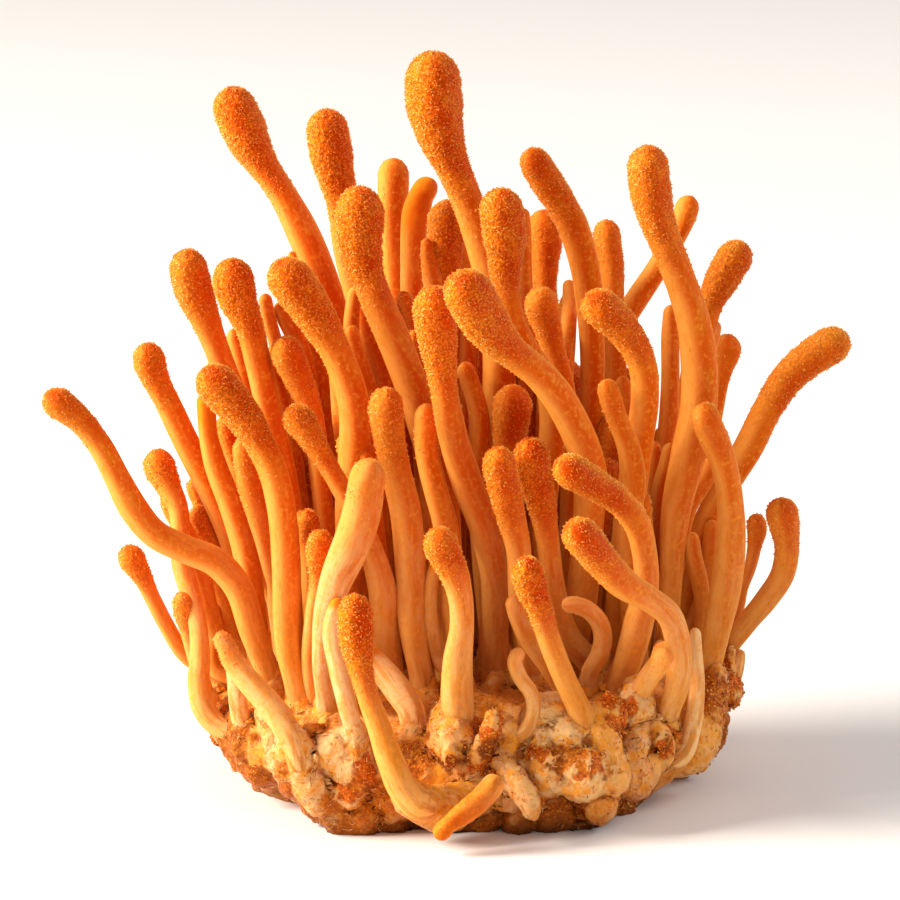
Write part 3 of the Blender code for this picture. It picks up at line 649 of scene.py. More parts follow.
def standGrains(name, pieces, seed):
    dice = np.random.default_rng(seed)
    shape, corners = modelled(
        bpy.ops.mesh.primitive_cone_add, vertices=4, radius1=0.5, radius2=0, depth=1, end_fill_type="NGON"
    )
    spots, normals, paintedShades = [], [], []
    for piece in pieces:
        mesh = piece.data
        faces, places = trianglesOf(mesh), vertexPlaces(mesh)
        a, b, c = (places[faces[:, i]] for i in range(3))
        across = np.cross(b - a, c - a)
        area = np.linalg.norm(across, axis=1) / 2
        load = area * readAttribute(mesh, "dust")[faces].mean(1) ** 1.2
        count = int(load.sum() / (grain["spacing"] * mm) ** 2)
        if count == 0:
            continue
        picked = dice.choice(len(load), count, p=load / load.sum())
        u, v = dice.uniform(0, 1, (2, count, 1))
        u, v = np.where(u + v > 1, 1 - u, u), np.where(u + v > 1, 1 - v, v)
        spots.append(a[picked] + (b - a)[picked] * u + (c - a)[picked] * v)
        normals.append((across / (2 * area[:, None] + 1e-18))[picked])
        paintedShades.append(readAttribute(mesh, "paintedShade")[faces].mean(1)[picked])
    spots, normals, paintedShade = np.concatenate(spots), np.concatenate(normals), np.concatenate(paintedShades)
    count = len(spots)
    up = unit(normals + dice.normal(0, grain["lean"], (count, 3)))
    side = unit(np.cross(up, dice.normal(0, 1, (count, 3))))
    front = np.cross(up, side)
    long = dice.uniform(*grain["long"], count)[:, None, None] * mm
    thick = dice.uniform(*grain["thick"], (count, 2, 1, 1)) * mm
    points = (
        spots[:, None]
        + side[:, None] * shape[None, :, :1] * thick[:, 0]
        + front[:, None] * shape[None, :, 1:2] * thick[:, 1]
        + up[:, None] * (shape[None, :, 2:] + 0.5 - grain["sunk"]) * long
    )
    # A grain is paler on the sides of the head: a painted rim highlight on top of its own random tone
    tones = grain["plainShare"] * dice.uniform(0, 1, count) + (1 - grain["plainShare"]) * (1 - paintedShade)
    made = strewn(name, points, corners, tones)
    return made


grainPieces = []
for seed, side in enumerate(("left", "mid", "right", "front")):
    pieces = [p for p in stalkPieces if f"stalk_{side}_" in p.name]
    grainPieces.append(standGrains("grains_" + side, pieces, seed))
grainPieces.append(standGrains("grains_sprouts", sproutPieces, 9))
print("grains stood:", [len(p.data.polygons) for p in grainPieces])


# The mat of mycelium that they grow from
mat = {
    "shrink": 0.93,  # the lumps and roots bring the core back out to the CAD's outline
    "voxel": 0.31,  # mm
    "smoothing": 8,
    "bumps": {  # size and height in mm, kind of noise, the part of the mat
        "swell": (3.4, 0.9, "CLOUDS", ""),
        "crumble": (1.0, 0.5, "CLOUDS", "rough"),
        "granule": (0.45, -0.28, "VORONOI", "granular"),
    },
    "sleek": 0.55,  # how much smoother the roots are than the crumbly parts
    "rootLong": (4.0, 9.5),  # mm that a root runs down from a foot
    "rootsEach": 2,
    "footBalls": ((-0.5, 1.15), (0.2, 1.08), (0.8, 1.0)),  # height and size of the swelling round a foot
    "backLumps": 60,
    "highTints": ("white", "yellow", "granular", "pink", "flesh", "orange"),
    "lowTints": ("brown", "granular", "yellow"),
    "ragged": 0.45,  # mm that the edge of a stain wanders
    "floorGap": 0.02,  # mm
}
# Lumps: (px, py, depth of their middle, radius in mm, tint)
lumps = [
    (330, 752, -19.3, 2.6, "white"), (354, 788, -19.4, 2.3, "white"), (335, 808, -19.4, 2.3, "white"),
    (316, 772, -18.8, 2.2, "white"), (362, 818, -19.0, 2.5, "yellow"), (354, 766, -19.3, 2.5, "white"),
    (312, 745, -17.6, 2.0, "yellow"), (342, 735, -17.8, 2.0, "white"), (392, 808, -18.6, 2.0, "pink"),
    (385, 790, -19, 2.2, "yellow"), (405, 760, -17.2, 2.8, "pink"), (440, 775, -19.2, 2.6, "flesh"),
    (452, 757, -22, 0.9, "nodule"), (455, 738, -19.4, 2.4, "pink"), (470, 768, -20.2, 2.0, "pink"),
    (500, 758, -19.8, 2.2, "pink"), (505, 790, -20, 2.0, "pink"), (545, 722, -17.4, 2.6, "white"),
    (560, 744, -19, 2.6, "white"), (545, 768, -19.8, 2.6, "white"), (578, 774, -20.6, 2.6, "white"),
    (612, 772, -19.2, 2.2, "flesh"), (598, 795, -18.2, 2.4, "flesh"), (562, 803, -18, 2.4, "pink"),
    (566, 762, -21.2, 1.2, "yellow"), (590, 765, -21.2, 0.9, "orange"), (540, 738, -19.6, 1.0, "white"),
    (612, 788, -18.4, 1.2, "orange"), (648, 772, -14.2, 1.8, "flesh"), (628, 780, -15.4, 2.2, "pink"),
    (645, 793, -8.6, 0.9, "orange"), (610, 715, -16.6, 1.8, "orange"), (634, 704, -14, 1.8, "white"),
    # The brown lumps at (242, 736), (258, 760) and (266, 775), on the left wall, are partly brown crumbs and
    # partly painted shade
    (708, 700, -1.4, 2.0, "orange"), (724, 690, 0.6, 1.7, "orange"), (242, 736, -7.6, 2.0, "brown"),
    (258, 760, -8.6, 1.8, "brown"), (266, 775, -11, 1.6, "brown"), (228, 716, -4.5, 1.7, "yellow"),
    (290, 789, -14.4, 1.5, "brown"), (395, 824, -19, 1.4, "brown"), (425, 818, -17.6, 1.6, "brown"),
    (452, 822, -18.4, 1.7, "brown"), (482, 820, -18.2, 1.8, "brown"), (516, 822, -18.8, 1.6, "brown"),
    (551, 822, -18.6, 1.7, "brown"), (585, 814, -17, 1.9, "brown"), (618, 804, -12.4, 1.9, "brown"),
    (640, 788, -8, 1.8, "brown"), (655, 762, -5, 1.6, "brown"), (320, 798, -17, 2.0, "brown"),
]
# Ridges: tint, depth at the first and last point, and (px, py, width in px)
ridges = [
    ("yellow", -7.4, -9.4, [(232, 732, 19), (246, 735, 23), (260, 728, 22)]),
    ("yellow", -20.4, -20.4, [(281, 771, 12), (285, 761, 13), (296, 757, 13), (305, 764, 13),
     (306, 777, 13), (297, 786, 12)]),
    ("white", -11, -17.4, [(266, 715, 24), (274, 738, 24), (280, 762, 18), (284, 784, 17), (300, 798, 19),
     (316, 796, 19), (330, 784, 16)]),
    ("pink", -17, -19.2, [(456, 706, 28), (451, 722, 36), (444, 742, 38)]),
    ("orange", -21.8, -20.8, [(494, 720, 18), (490, 733, 19), (483, 750, 19), (477, 766, 19),
     (480, 786, 18)]),
    ("white", -18.4, -20, [(524, 738, 18), (530, 764, 24), (538, 794, 22)]),
    ("flesh", -19.6, -20.8, [(513, 738, 15), (506, 752, 17), (504, 768, 16)]),
    ("orange", -14.4, -16.6, [(608, 702, 13), (610, 722, 18), (611, 744, 20)]),
    ("white", -20.4, -20.8, [(572, 758, 22), (582, 772, 26), (578, 788, 20)]),
    ("yellow", -19.4, -19.8, [(600, 790, 18), (610, 780, 22), (616, 770, 18)]),
    ("pink", -13.4, -16.2, [(640, 722, 20), (634, 742, 28), (632, 762, 28), (627, 780, 22)]),
    ("white", -12.8, -13.6, [(640, 714, 20), (652, 728, 18), (664, 742, 16)]),
    ("orange", -13.2, -13.4, [(660, 734, 12), (667, 748, 17), (660, 764, 13)]),
    ("flesh", -17.6, -20.6, [(590, 722, 31), (600, 742, 35), (606, 761, 31), (603, 780, 22)]),
    ("pink", -10.4, -11.2, [(660, 700, 22), (666, 730, 27), (662, 758, 22)]),
    ("flesh", -8, -8.6, [(688, 704, 20), (692, 736, 25), (684, 764, 20)]),
    ("flesh", -2.6, -9, [(716, 680, 26), (710, 712, 30), (702, 742, 34), (684, 763, 26)]),
    ("orange", 4, 0.4, [(730, 654, 13), (727, 676, 15), (721, 698, 15), (712, 716, 16), (707, 740, 16)]),
    ("flesh", -24.6, -21.6, [(406, 792, 28), (424, 805, 35), (444, 809, 37), (464, 804, 31),
     (484, 792, 24)]),
    ("white", -20.2, -20.4, [(288, 736, 24), (298, 756, 31), (308, 778, 33), (320, 800, 28)]),
    ("white", -21.2, -23.6, [(504, 766, 19), (512, 776, 20), (520, 787, 19), (528, 800, 18),
     (533, 807, 17)]),
    ("white", -20.2, -20.6, [(353, 732, 19), (357, 754, 26), (362, 778, 30)]),
    ("yellow", -9.6, -10.4, [(238, 716, 18), (242, 736, 23)]),
    ("brown", -17.4, -9, [(560, 808, 24), (598, 803, 24), (634, 790, 20)]),
    ("yellow", -19.8, -18.6, [(324, 800, 28), (346, 821, 33), (374, 822, 28)]),
    ("pink", -18, -20, [(412, 738, 20), (428, 762, 22), (440, 790, 22), (470, 806, 20)]),
]
# Stains and painted shade, which colour the mat and add nothing to its shape: (px, py, depth, radius in mm,
# tint)
stainsAndShade = [
    (361, 786, -22, 1.5, "granular"), (364, 794, -22, 0.6, "char"), (437, 764, -21, 0.8, "char"),
    (456, 784, -21, 0.8, "char"), (556, 763, -22, 0.45, "char"), (546, 756, -21.6, 0.4, "char"),
    (668, 752, -15, 1.0, "char"), (487, 745, -22, 1.0, "char"), (250, 728, -9.5, 1.8, "yellow"),
    (575, 815, -18, 2.6, "char"), (364, 774, -21.8, 1.1, "orange"), (371, 802, -21.4, 0.5, "char"),
    # The brown and granular ones on the left wall, from (214, 742) to (258, 788), and those at (418, 760)
    # and (424, 750) are partly brown crumbs and partly painted shade
    (344, 792, -21.8, 0.8, "orange"), (532, 757, -21.6, 0.8, "orange"), (214, 742, -5, 2.2, "brown"),
    (232, 752, -9.4, 2.3, "brown"), (244, 772, -10, 2.2, "brown"), (258, 788, -12, 2.0, "granular"),
    (228, 766, -6, 2.6, "granular"), (418, 760, -19.8, 1.7, "granular"), (424, 750, -19, 1.2, "brown"),
    (583, 806, -19.6, 1.0, "orange"), (626, 800, -14, 2.2, "granular"), (700, 696, -1.5, 1.6, "orange"),
    (716, 730, 0, 2.2, "brown"), (552, 800, -20.6, 0.9, "orange"), (610, 803, -16, 2.0, "yellow"),
    (470, 722, -17, 1.6, "orange"), (576, 777, -23, 0.6, "orange"), (574, 760, -22.6, 0.8, "yellow"),
    (584, 771, -22.8, 0.7, "yellow"), (604, 784, -20.6, 0.8, "yellow"), (548, 750, -21.4, 2.0, "white"),
    (556, 772, -22, 1.4, "white"), (540, 786, -21.4, 1.6, "white"), (634, 748, -17, 1.8, "white"),
    (715, 702, -4.0, 2.4, "granular"),
]
# Tucks, where the edge draws back under what overhangs it: (px, py, depth, radius in mm, move in mm)
tucks = [
    (670, 790, -5, 6.5, (-1.0, 5.0, 0.3)), (288, 810, -13, 5.5, (0.6, 2.6, 0.2)),
    (216, 765, -4, 5.0, (2.0, 1.5, 0.2)), (252, 795, -8, 4.0, (0.6, 2.0, 0.2)),
]
paleTints = ("flesh", "white", "yellow", "pink")
deepTints = ("granular", "orange", "brown", "nodule", "char")


def crumbled(place, radius, dice):  # a lump is a clump of three balls, not one
    found = []
    for _ in range(3):
        way = np.array([dice.gauss(0, 1) for _ in range(3)])
        way /= np.linalg.norm(way)
        found.append((place + way * radius * dice.uniform(0.15, 0.4), radius * dice.uniform(0.65, 0.85)))
    return found


def alongRidge(start, end, route):
    last = len(route) - 1
    knots = [knotSeen(*spot, start + (end - start) * i / last) for i, spot in enumerate(route)]
    return [(row[:3], row[3]) for row in smoothLine(np.array(knots), 0.5 * mm)]


def rootRun(surface, foot, radius, turn, dice):  # from a foot down over the mat, thinner and thinner
    middle = Vector((camera["middle"][0] + mound["shift"], camera["middle"][1], 0)) * mm
    outward = (Vector(foot) - middle).to_2d().to_3d().normalized()
    outward.rotate(Euler((0, 0, turn)))
    length, reach, place, found = dice.uniform(*mat["rootLong"]) * mm, 0.0, Vector(foot), []
    heading = outward.copy()
    while reach < length and place.z > 0.8 * mm:
        near, normal, _, _ = surface.find_nearest(place)
        size = radius * (0.95 - 0.6 * reach / length)
        found.append((np.array(near + normal * size * 0.1), size))
        wander = Vector([dice.uniform(-0.5, 0.5) for _ in range(3)])
        heading = heading * 0.8 + outward * 0.15 + Vector((0, 0, -0.35)) + wander * 0.5
        heading = (heading - normal * heading.dot(normal)).normalized()
        place = near + heading * size * 0.5
        reach += size * 0.5
    return found


def backLumps(dice):  # the sides and back are as lumpy as the front
    found = []
    for i in range(mat["backLumps"]):
        angle = math.radians(5 + 170 * (i + dice.uniform(0.1, 0.9)) / mat["backLumps"])
        height, radius = dice.uniform(1.2, 7.5), dice.uniform(1.3, 2.4)
        share = 0.8 + 0.18 * math.sin(min(height / 7, 1) * 1.57) + dice.uniform(-0.04, 0.02)
        x = mound["shift"] + (mound["halfWide"] - radius) * share * math.cos(angle)
        place = np.array((x, (mound["halfDeep"] - radius) * share * math.sin(angle), height))
        place[:2] += camera["middle"]
        tints = mat["highTints"] if height > 2.5 else mat["lowTints"]
        found.append((place * mm, radius * mm, dice.choice(tints)))
    return found


def ballMesh(name, balls):
    shape, faces = modelled(bpy.ops.mesh.primitive_ico_sphere_add, subdivisions=2, radius=1)
    places, sizes = np.array([p for p, _ in balls]), np.array([r for _, r in balls])
    return copied(name, places[:, None] + shape[None] * sizes[:, None, None], faces)


def warped(places):  # pushed about a little, so that stains have ragged edges
    p, push = places / mm, []
    for i in range(3):
        second, third = p[:, (i + 1) % 3], p[:, (i + 2) % 3]
        wave = np.sin(second * 1.9 + i) + 0.6 * np.sin(third * 3.7 + 2 * i)
        push.append(wave + 0.4 * np.sin(p[:, i] * 6.1 + second * 4.3))
    return places + mat["ragged"] * np.stack(push, 1) * mm


def spotted(rows):
    return [(seen(px, py, depth), radius * mm, tint) for px, py, depth, radius, tint in rows]


def matParts(surface):  # the balls that the mat is built up from, and where it takes each tint
    dice = random.Random("the mat")
    drawn = spotted(lumps) + backLumps(dice)
    balls = [ball for place, radius, _ in drawn for ball in crumbled(place, radius, dice)]
    for tint, start, end, route in ridges:
        run = alongRidge(start, end, route)
        balls += run
        drawn += [(place, radius, tint) for place, radius in run[::2]]
    for foot, radius in feet:
        balls += [(foot + np.array((0, 0, up * radius)), radius * wide) for up, wide in mat["footBalls"]]
        drawn.append((foot, radius * 1.5, "flesh"))
        for _ in range(mat["rootsEach"]):
            run = rootRun(surface, foot, radius, dice.uniform(-1.1, 1.1), dice)
            balls += run
            drawn += [(place, size, "flesh") for place, size in run[: len(run) // 2 : 2]]
    return balls, drawn + spotted(stainsAndShade)


def matRelief(piece, places):  # how far each point stands out of a smoothed copy
    smoother = addObject("smoother", piece.data.copy())
    modified(smoother, "SMOOTH", factor=0.6, iterations=24)
    stands = ((places - vertexPlaces(smoother.data)) * vertexNormals(smoother.data)).sum(1)
    bpy.data.objects.remove(smoother)
    return np.clip(stands / stands.std() / 5 + 0.5, 0, 1)


def growMat():
    deselect()
    core = addObject("matCore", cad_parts["base_mat"].data.copy())
    places = vertexPlaces(core.data)
    middle = (places.min(0) + places.max(0)) / 2
    places[:, :2] = middle[:2] + (places[:, :2] - middle[:2]) * mat["shrink"]
    moveVertices(core.data, places)
    core.select_set(True)
    bpy.context.view_layer.objects.active = core
    closeSeams(0.001)
    faces = [tuple(face.vertices) for face in core.data.polygons]
    balls, drawn = matParts(BVHTree.FromPolygons([tuple(v.co) for v in core.data.vertices], faces))

    made = joined("skin_base_mat", [core, ballMesh("matBalls", balls)])
    made.select_set(True)
    modified(made, "REMESH", mode="VOXEL", voxel_size=mat["voxel"] * mm)
    modified(made, "SMOOTH", factor=0.6, iterations=mat["smoothing"])
    places = vertexPlaces(made.data)
    for px, py, depth, radius, move in tucks:
        near = easeOff(np.linalg.norm(places - seen(px, py, depth), axis=1) / (radius * mm), 0.3, 1.0)
        places += near[:, None] * np.array(move) * mm
    moveVertices(made.data, places)
    places = warped(places)
    for tint in paleTints + deepTints:
        fade = (0.7, 1.7) if tint in paleTints else (0.9, 1.5)
        share = np.zeros(len(places))
        for place, radius, kind in drawn:
            if kind == tint:
                share = np.maximum(share, easeOff(np.linalg.norm(places - place, axis=1) / radius, *fade))
        keepAttribute(made.data, tint, share)
    tints = ("granular", "orange", "yellow", "nodule", "char", "brown")
    grainy = sum(readAttribute(made.data, t) for t in tints)
    smooth = readAttribute(made.data, "flesh") * (1 - np.clip(grainy, 0, 1))
    weigh(made, "granular", np.clip(grainy, 0.15, 1))
    weigh(made, "rough", 1 - mat["sleek"] * smooth)
    for name, (size, height, kind, group) in mat["bumps"].items():
        texture = bpy.data.textures.new(name, kind)
        texture.noise_scale = size * mm
        if kind == "CLOUDS":
            texture.noise_depth = 3
        displace(made, texture, height * mm, group)
    places = vertexPlaces(made.data)
    # Clouds only push out, so their mean is taken off again
    places[:, :2] -= vertexNormals(made.data)[:, :2] * mat["bumps"]["swell"][1] * 0.5 * mm
    places[:, 2] = np.maximum(places[:, 2], mat["floorGap"] * mm)
    moveVertices(made.data, places)
    made.data.update()
    keepAttribute(made.data, "relief", matRelief(made, places))
    deselect()
    made.select_set(True)
    bpy.context.view_layer.objects.active = made
    bpy.ops.object.shade_smooth()
    made.select_set(False)
    return made


matPiece = growMat()
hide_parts("base_mat")
print("mat grown with", len(matPiece.data.polygons), "faces")


# Crumbs, specks and threads on the mat
crumbs = {
    "mat_granules": {"count": 7000, "size": (0.06, 0.15), "seed": 5},  # size is the radius in mm
    "mat_specks": {"count": 360, "size": (0.04, 0.12), "seed": 6},
}
thread = {
    "count": 4200, "seed": 7, "joints": 6, "sides": 3,
    "long": (0.35, 0.95),  # mm
    "thick": 0.042,  # mm, coarser than a real thread so that it shows
    "curl": (-0.35, 0.35), "lift": (0.02, 0.3),  # share of its length
    "clear": 0.1,  # mm that it lies above the mat
}


def tintShare(*names):
    return sum(readAttribute(matPiece.data, n) for n in names)


def matPoints(count, weight, seed):  # places and normals on the mat, picked by weight
    places, normals = vertexPlaces(matPiece.data), vertexNormals(matPiece.data)
    weight = weight * (places[:, 2] > 0.4 * mm) * (normals[:, 2] > -0.6)
    picked = np.random.default_rng(seed).choice(len(places), count, p=weight / weight.sum())
    return places[picked], normals[picked], picked


def scatter(name, weight):  # uneven crumbs that sit half sunk in the mat
    crumb = crumbs[name]
    count, dice = crumb["count"], np.random.default_rng(crumb["seed"])
    places, normals, picked = matPoints(count, weight, crumb["seed"])
    shape, faces = modelled(bpy.ops.mesh.primitive_ico_sphere_add, subdivisions=1, radius=1)
    size = dice.uniform(*crumb["size"], count) * mm
    uneven = 1 + dice.normal(0, 0.17, (count, len(shape), 1))
    turned = shape[None] * uneven * dice.uniform(0.7, 1.2, (count, 1, 3))
    points = places[:, None] + normals[:, None] * size[:, None, None] * 0.35 + turned * size[:, None, None]
    tones = dice.uniform(0, 1, count) * (1 - 0.6 * np.clip(tintShare("char")[picked], 0, 1))
    made = strewn(name, points, faces, tones)
    return made


def growFibres(name, weight):  # fine threads that lie over the mat
    count, joints, sides = thread["count"], thread["joints"], thread["sides"]
    dice = np.random.default_rng(thread["seed"])
    places, normals, _ = matPoints(count, weight, thread["seed"])
    heading = dice.normal(0, 1, (count, 3))
    heading = unit(heading - normals * (heading * normals).sum(1)[:, None])
    across = np.cross(normals, heading)
    length = dice.uniform(*thread["long"], count) * mm
    curl, lift = dice.uniform(*thread["curl"], count), dice.uniform(*thread["lift"], count)
    points = []
    for s in np.linspace(-0.5, 0.5, joints):
        centre = places + heading * (length * s)[:, None] + across * (length * curl * (s * s * 4))[:, None]
        centre += normals * (thread["clear"] * mm + length * lift * (0.25 - s * s))[:, None]
        thick = thread["thick"] * mm * (1 - 0.7 * abs(s) * 2)
        for k in range(sides):
            a = 2 * math.pi * k / sides
            points.append(centre + (across * math.cos(a) + normals * math.sin(a)) * thick)
    quads = []
    for j in range(joints - 1):
        for k in range(sides):
            a, b = j * sides + k, j * sides + (k + 1) % sides
            quads.append((a, b, b + sides, a + sides))
    made = strewn(name, np.stack(points, 1), quads, dice.uniform(0, 1, count))
    return made


crumbly = (tintShare("granular", "orange", "nodule") + 0.5 * tintShare("yellow")) ** 2 + 0.02
charred = 2 * tintShare("char") + 0.2 * tintShare("granular", "nodule", "orange") + 0.03
felted = tintShare("white", "pink", "yellow") + 0.4 * tintShare("flesh") + 0.12
granulePiece, speckPiece = scatter("mat_granules", crumbly), scatter("mat_specks", charred)
fibrePiece = growFibres("mat_fibres", felted)
print("crumbs and fibres scattered")


# What the materials share
def addNode(tree, kind, inputs=None, out=0, stops=(), **settings):  # a node with its settings and links
    node = tree.nodes.new("ShaderNode" + kind)
    for key, value in settings.items():
        setattr(node, key, value)
    for place, _ in stops[2:]:  # stops are colours or greys along a ramp
        node.color_ramp.elements.new(place)
    if stops:
        elements = sorted(node.color_ramp.elements, key=lambda e: e.position)
        for element, (place, colour) in zip(elements, sorted(stops)):
            element.position = place
            element.color = linear(colour) if isinstance(colour, str) else (colour, colour, colour, 1)
    for key, value in (inputs or {}).items():  # a socket is linked, a hex colour or a number is set
        if isinstance(value, bpy.types.NodeSocket):
            tree.links.new(value, node.inputs[key])
        else:
            node.inputs[key].default_value = linear(value) if isinstance(value, str) else value
    return node.outputs[out] if len(node.outputs) else None


def newMaterial(name):
    material = bpy.data.materials.new(name)
    material.use_nodes = True
    material.node_tree.nodes.clear()
    return material, functools.partial(addNode, material.node_tree)


def finished(material, add, shader):
    add("OutputMaterial", {"Surface": add("BsdfPrincipled", shader)})
    return material


def coated(add, colour, colours, coats):  # each coat: pattern, its stops, what else limits it, colour
    for pattern, stops, limits, tint in coats:
        share = add("ValToRGB", {0: pattern}, stops=stops)
        for limit in limits:
            share = add("Math", {0: share, 1: limit}, operation="MULTIPLY")
        colour = add("Mix", {0: share, 6: colour, 7: colours[tint]}, 2, data_type="RGBA")
    return colour


def paint(pieces, finish):
    for piece in pieces:
        piece.data.materials.clear()
        piece.data.materials.append(finish)
        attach(piece, "root")


# The pale gold side colour is a painted rim highlight; the crevice colour is painted shade between grains;
# the deep red is partly the heads' own colour and partly painted shade in front
skin = {
    "foot": "#e0953a", "low": "#d67a14", "middle": "#dc6406", "high": "#da5603", "side": "#f6b252",
    "cream": "#f3c68a", "streak": "#f09a34", "gold": "#d87c12", "dash": "#b84e08", "stain": "#b8641a",
    "flesh": "#f28a1c", "deepRedAndShade": "#d03c02", "creviceShade": "#a83202",
    "roughness": 0.5, "glow": 0.3,
    "glowDepth": 1.0, "bump": 0.12,  # mm
}
skinPatterns = {  # turns to a mm across and along, detail, roughness, shift
    "streak": ((1.3, 1.3, 0.32), 4.0, 0.5, (0.0, 0.0, 0.0)),  # 0.8 mm wide and 3 mm long
    "blot": ((0.75, 0.75, 0.34), 5.0, 0.6, (7.0, 3.0, 5.0)),  # 1.3 by 3 mm
    "dash": ((4.5, 4.5, 1.3), 2.0, 0.5, (0.0, 0.0, 0.0)),  # 0.2 by 0.8 mm
    "line": ((7.0, 7.0, 0.8), 3.0, 0.5, (0.0, 0.0, 0.0)),  # 0.14 by 1.3 mm, coarser than the flesh's threads
}


def stalkSkin():  # fresh fungus flesh: smooth satin that light goes a little way into, redder under grains, with painted shade in front and between the grains and a painted rim highlight on the sides
    material, add = newMaterial("fungus_skin_satin")
    names = ("club", "dust", "rise", "pale", "red", "paintedShade")
    read = {n: add("Attribute", out="Fac", attribute_name=n) for n in names}
    fibre = add("Attribute", out="Vector", attribute_name="fibre")
    place = add("TexCoord", out="Object")
    noise = {}
    for name, (scale, detail, roughness, shift) in skinPatterns.items():
        at = add("Mapping", {"Vector": fibre, "Location": shift, "Scale": scale})
        noise[name] = add("TexNoise", {"Vector": at, "Scale": 1.0, "Detail": detail, "Roughness": roughness})
    cloud = add("TexNoise", {"Vector": place, "Scale": 420.0, "Detail": 3.0})  # 2.4 mm
    speck = add("TexNoise", {"Vector": place, "Scale": 1 / (0.45 * mm), "Detail": 2.0})
    cells = add("TexVoronoi", {"Vector": place, "Scale": 1 / (0.3 * mm)}, "Distance")  # as the grains stand

    climb = add("MapRange", {"Value": read["rise"], "From Max": 34.0})
    uneven = add("Math", {0: noise["blot"], 1: 0.4, 2: -0.2}, operation="MULTIPLY_ADD")
    climb = add("Math", {0: climb, 1: uneven}, operation="ADD")
    rise = [(0.0, skin["foot"]), (0.22, skin["low"]), (0.5, skin["middle"]), (0.9, skin["high"])]
    stem = add("ValToRGB", {0: climb}, stops=rise)
    # Painted rim highlight: pale gold where a stem's side turns away from the front
    side = add("MapRange", {"Value": read["paintedShade"], "To Min": 0.74, "To Max": 0.0})
    stem = add("Mix", {0: side, 6: stem, 7: skin["side"]}, 2, data_type="RGBA")
    paleHeight = {"Value": read["rise"], "From Min": 15.0, "From Max": 24.0, "To Min": 1.0, "To Max": 0.25}
    paleHeight = add("MapRange", paleHeight)
    nearFoot = add("MapRange", {"Value": read["rise"], "From Max": 7.0, "To Min": 1.0, "To Max": 0.0})
    stem = coated(add, stem, skin, (
        (noise["blot"], ((0.5, 0.0), (0.66, 0.5)), (), "gold"),
        (noise["streak"], ((0.5, 0.0), (0.75, 0.35)), (), "streak"),
        (noise["streak"], ((0.38, 0.3), (0.58, 1.0)), (read["pale"], paleHeight), "cream"),
        (noise["blot"], ((0.4, 0.0), (0.6, 0.5)), (nearFoot,), "cream"),
        (noise["streak"], ((0.42, 0.8), (0.54, 0.0)), (nearFoot,), "stain"),
        (noise["dash"], ((0.6, 0.0), (0.74, 0.4)), (), "dash"),
        (speck, ((0.52, 0.0), (0.68, 0.55)), (), "streak"),
    ))
    # Deep red in cloudy patches and by the stalk's own redness, kept to the front and back as painted shade
    redder = add("Math", {0: read["red"], 1: 0.6, 2: 0.5}, operation="MULTIPLY_ADD")
    head = coated(add, skin["flesh"], skin, (
        (cloud, ((0.36, 0.4), (0.58, 1.0)), (read["paintedShade"], redder), "deepRedAndShade"),
        # Painted shade: darker in the gaps between grain cells
        (cells, ((0.3, 0.0), (0.65, 0.65)), (read["dust"],), "creviceShade"),
    ))
    bump = add("Bump", {"Height": noise["line"], "Strength": 0.25, "Distance": skin["bump"] * mm})
    bump = add("Bump", {"Height": speck, "Normal": bump, "Strength": 0.5, "Distance": skin["bump"] * mm})
    return finished(material, add, {
        "Base Color": add("Mix", {0: read["club"], 6: stem, 7: head}, 2, data_type="RGBA"),
        "Normal": bump, "Roughness": skin["roughness"], "IOR": 1.4,
        "Subsurface Weight": skin["glow"], "Subsurface Radius": (1.0, 0.45, 0.12),
        "Subsurface Scale": skin["glowDepth"] * mm,
        "Sheen Weight": 0.8, "Sheen Roughness": 0.35, "Sheen Tint": "#ffaa38",
        "Specular IOR Level": 0.14, "Specular Tint": "#ffb050",
    })


paint(stalkPieces + sproutPieces, stalkSkin())
print("skins painted")

# The pit colour is painted shade in hollows and between granules, the under colour painted shade near the
# floor; flake and white also serve as painted highlights on granule centres and raised parts
matLook = {
    "cream": "#e6a658", "tan": "#da8622", "pitShade": "#a04808", "flake": "#ec920e", "crust": "#c4600c",
    "white": "#eabc80", "yellow": "#f0a01c", "pink": "#e09a5c", "flesh": "#ea9c38",
    "granular": "#c8640e", "orange": "#da5c06", "brown": "#aa5c14", "nodule": "#7c1c08", "char": "#7c3a0e",
    "under": "#401a05",
}
matPatterns = {  # size in mm, and the noise's other settings
    "broad": (3.0, {"Detail": 4.0}, {}),
    "small": (0.67, {"Detail": 4.0}, {}),
    "thread": (1.1, {"Detail": 3.0, "Distortion": 2.5}, {}),
    "flake": (1.3, {"W": 3.0, "Detail": 6.0, "Roughness": 0.7}, {"noise_dimensions": "4D"}),
    "crust": (0.9, {"W": 8.0, "Detail": 6.0, "Roughness": 0.7}, {"noise_dimensions": "4D"}),
}


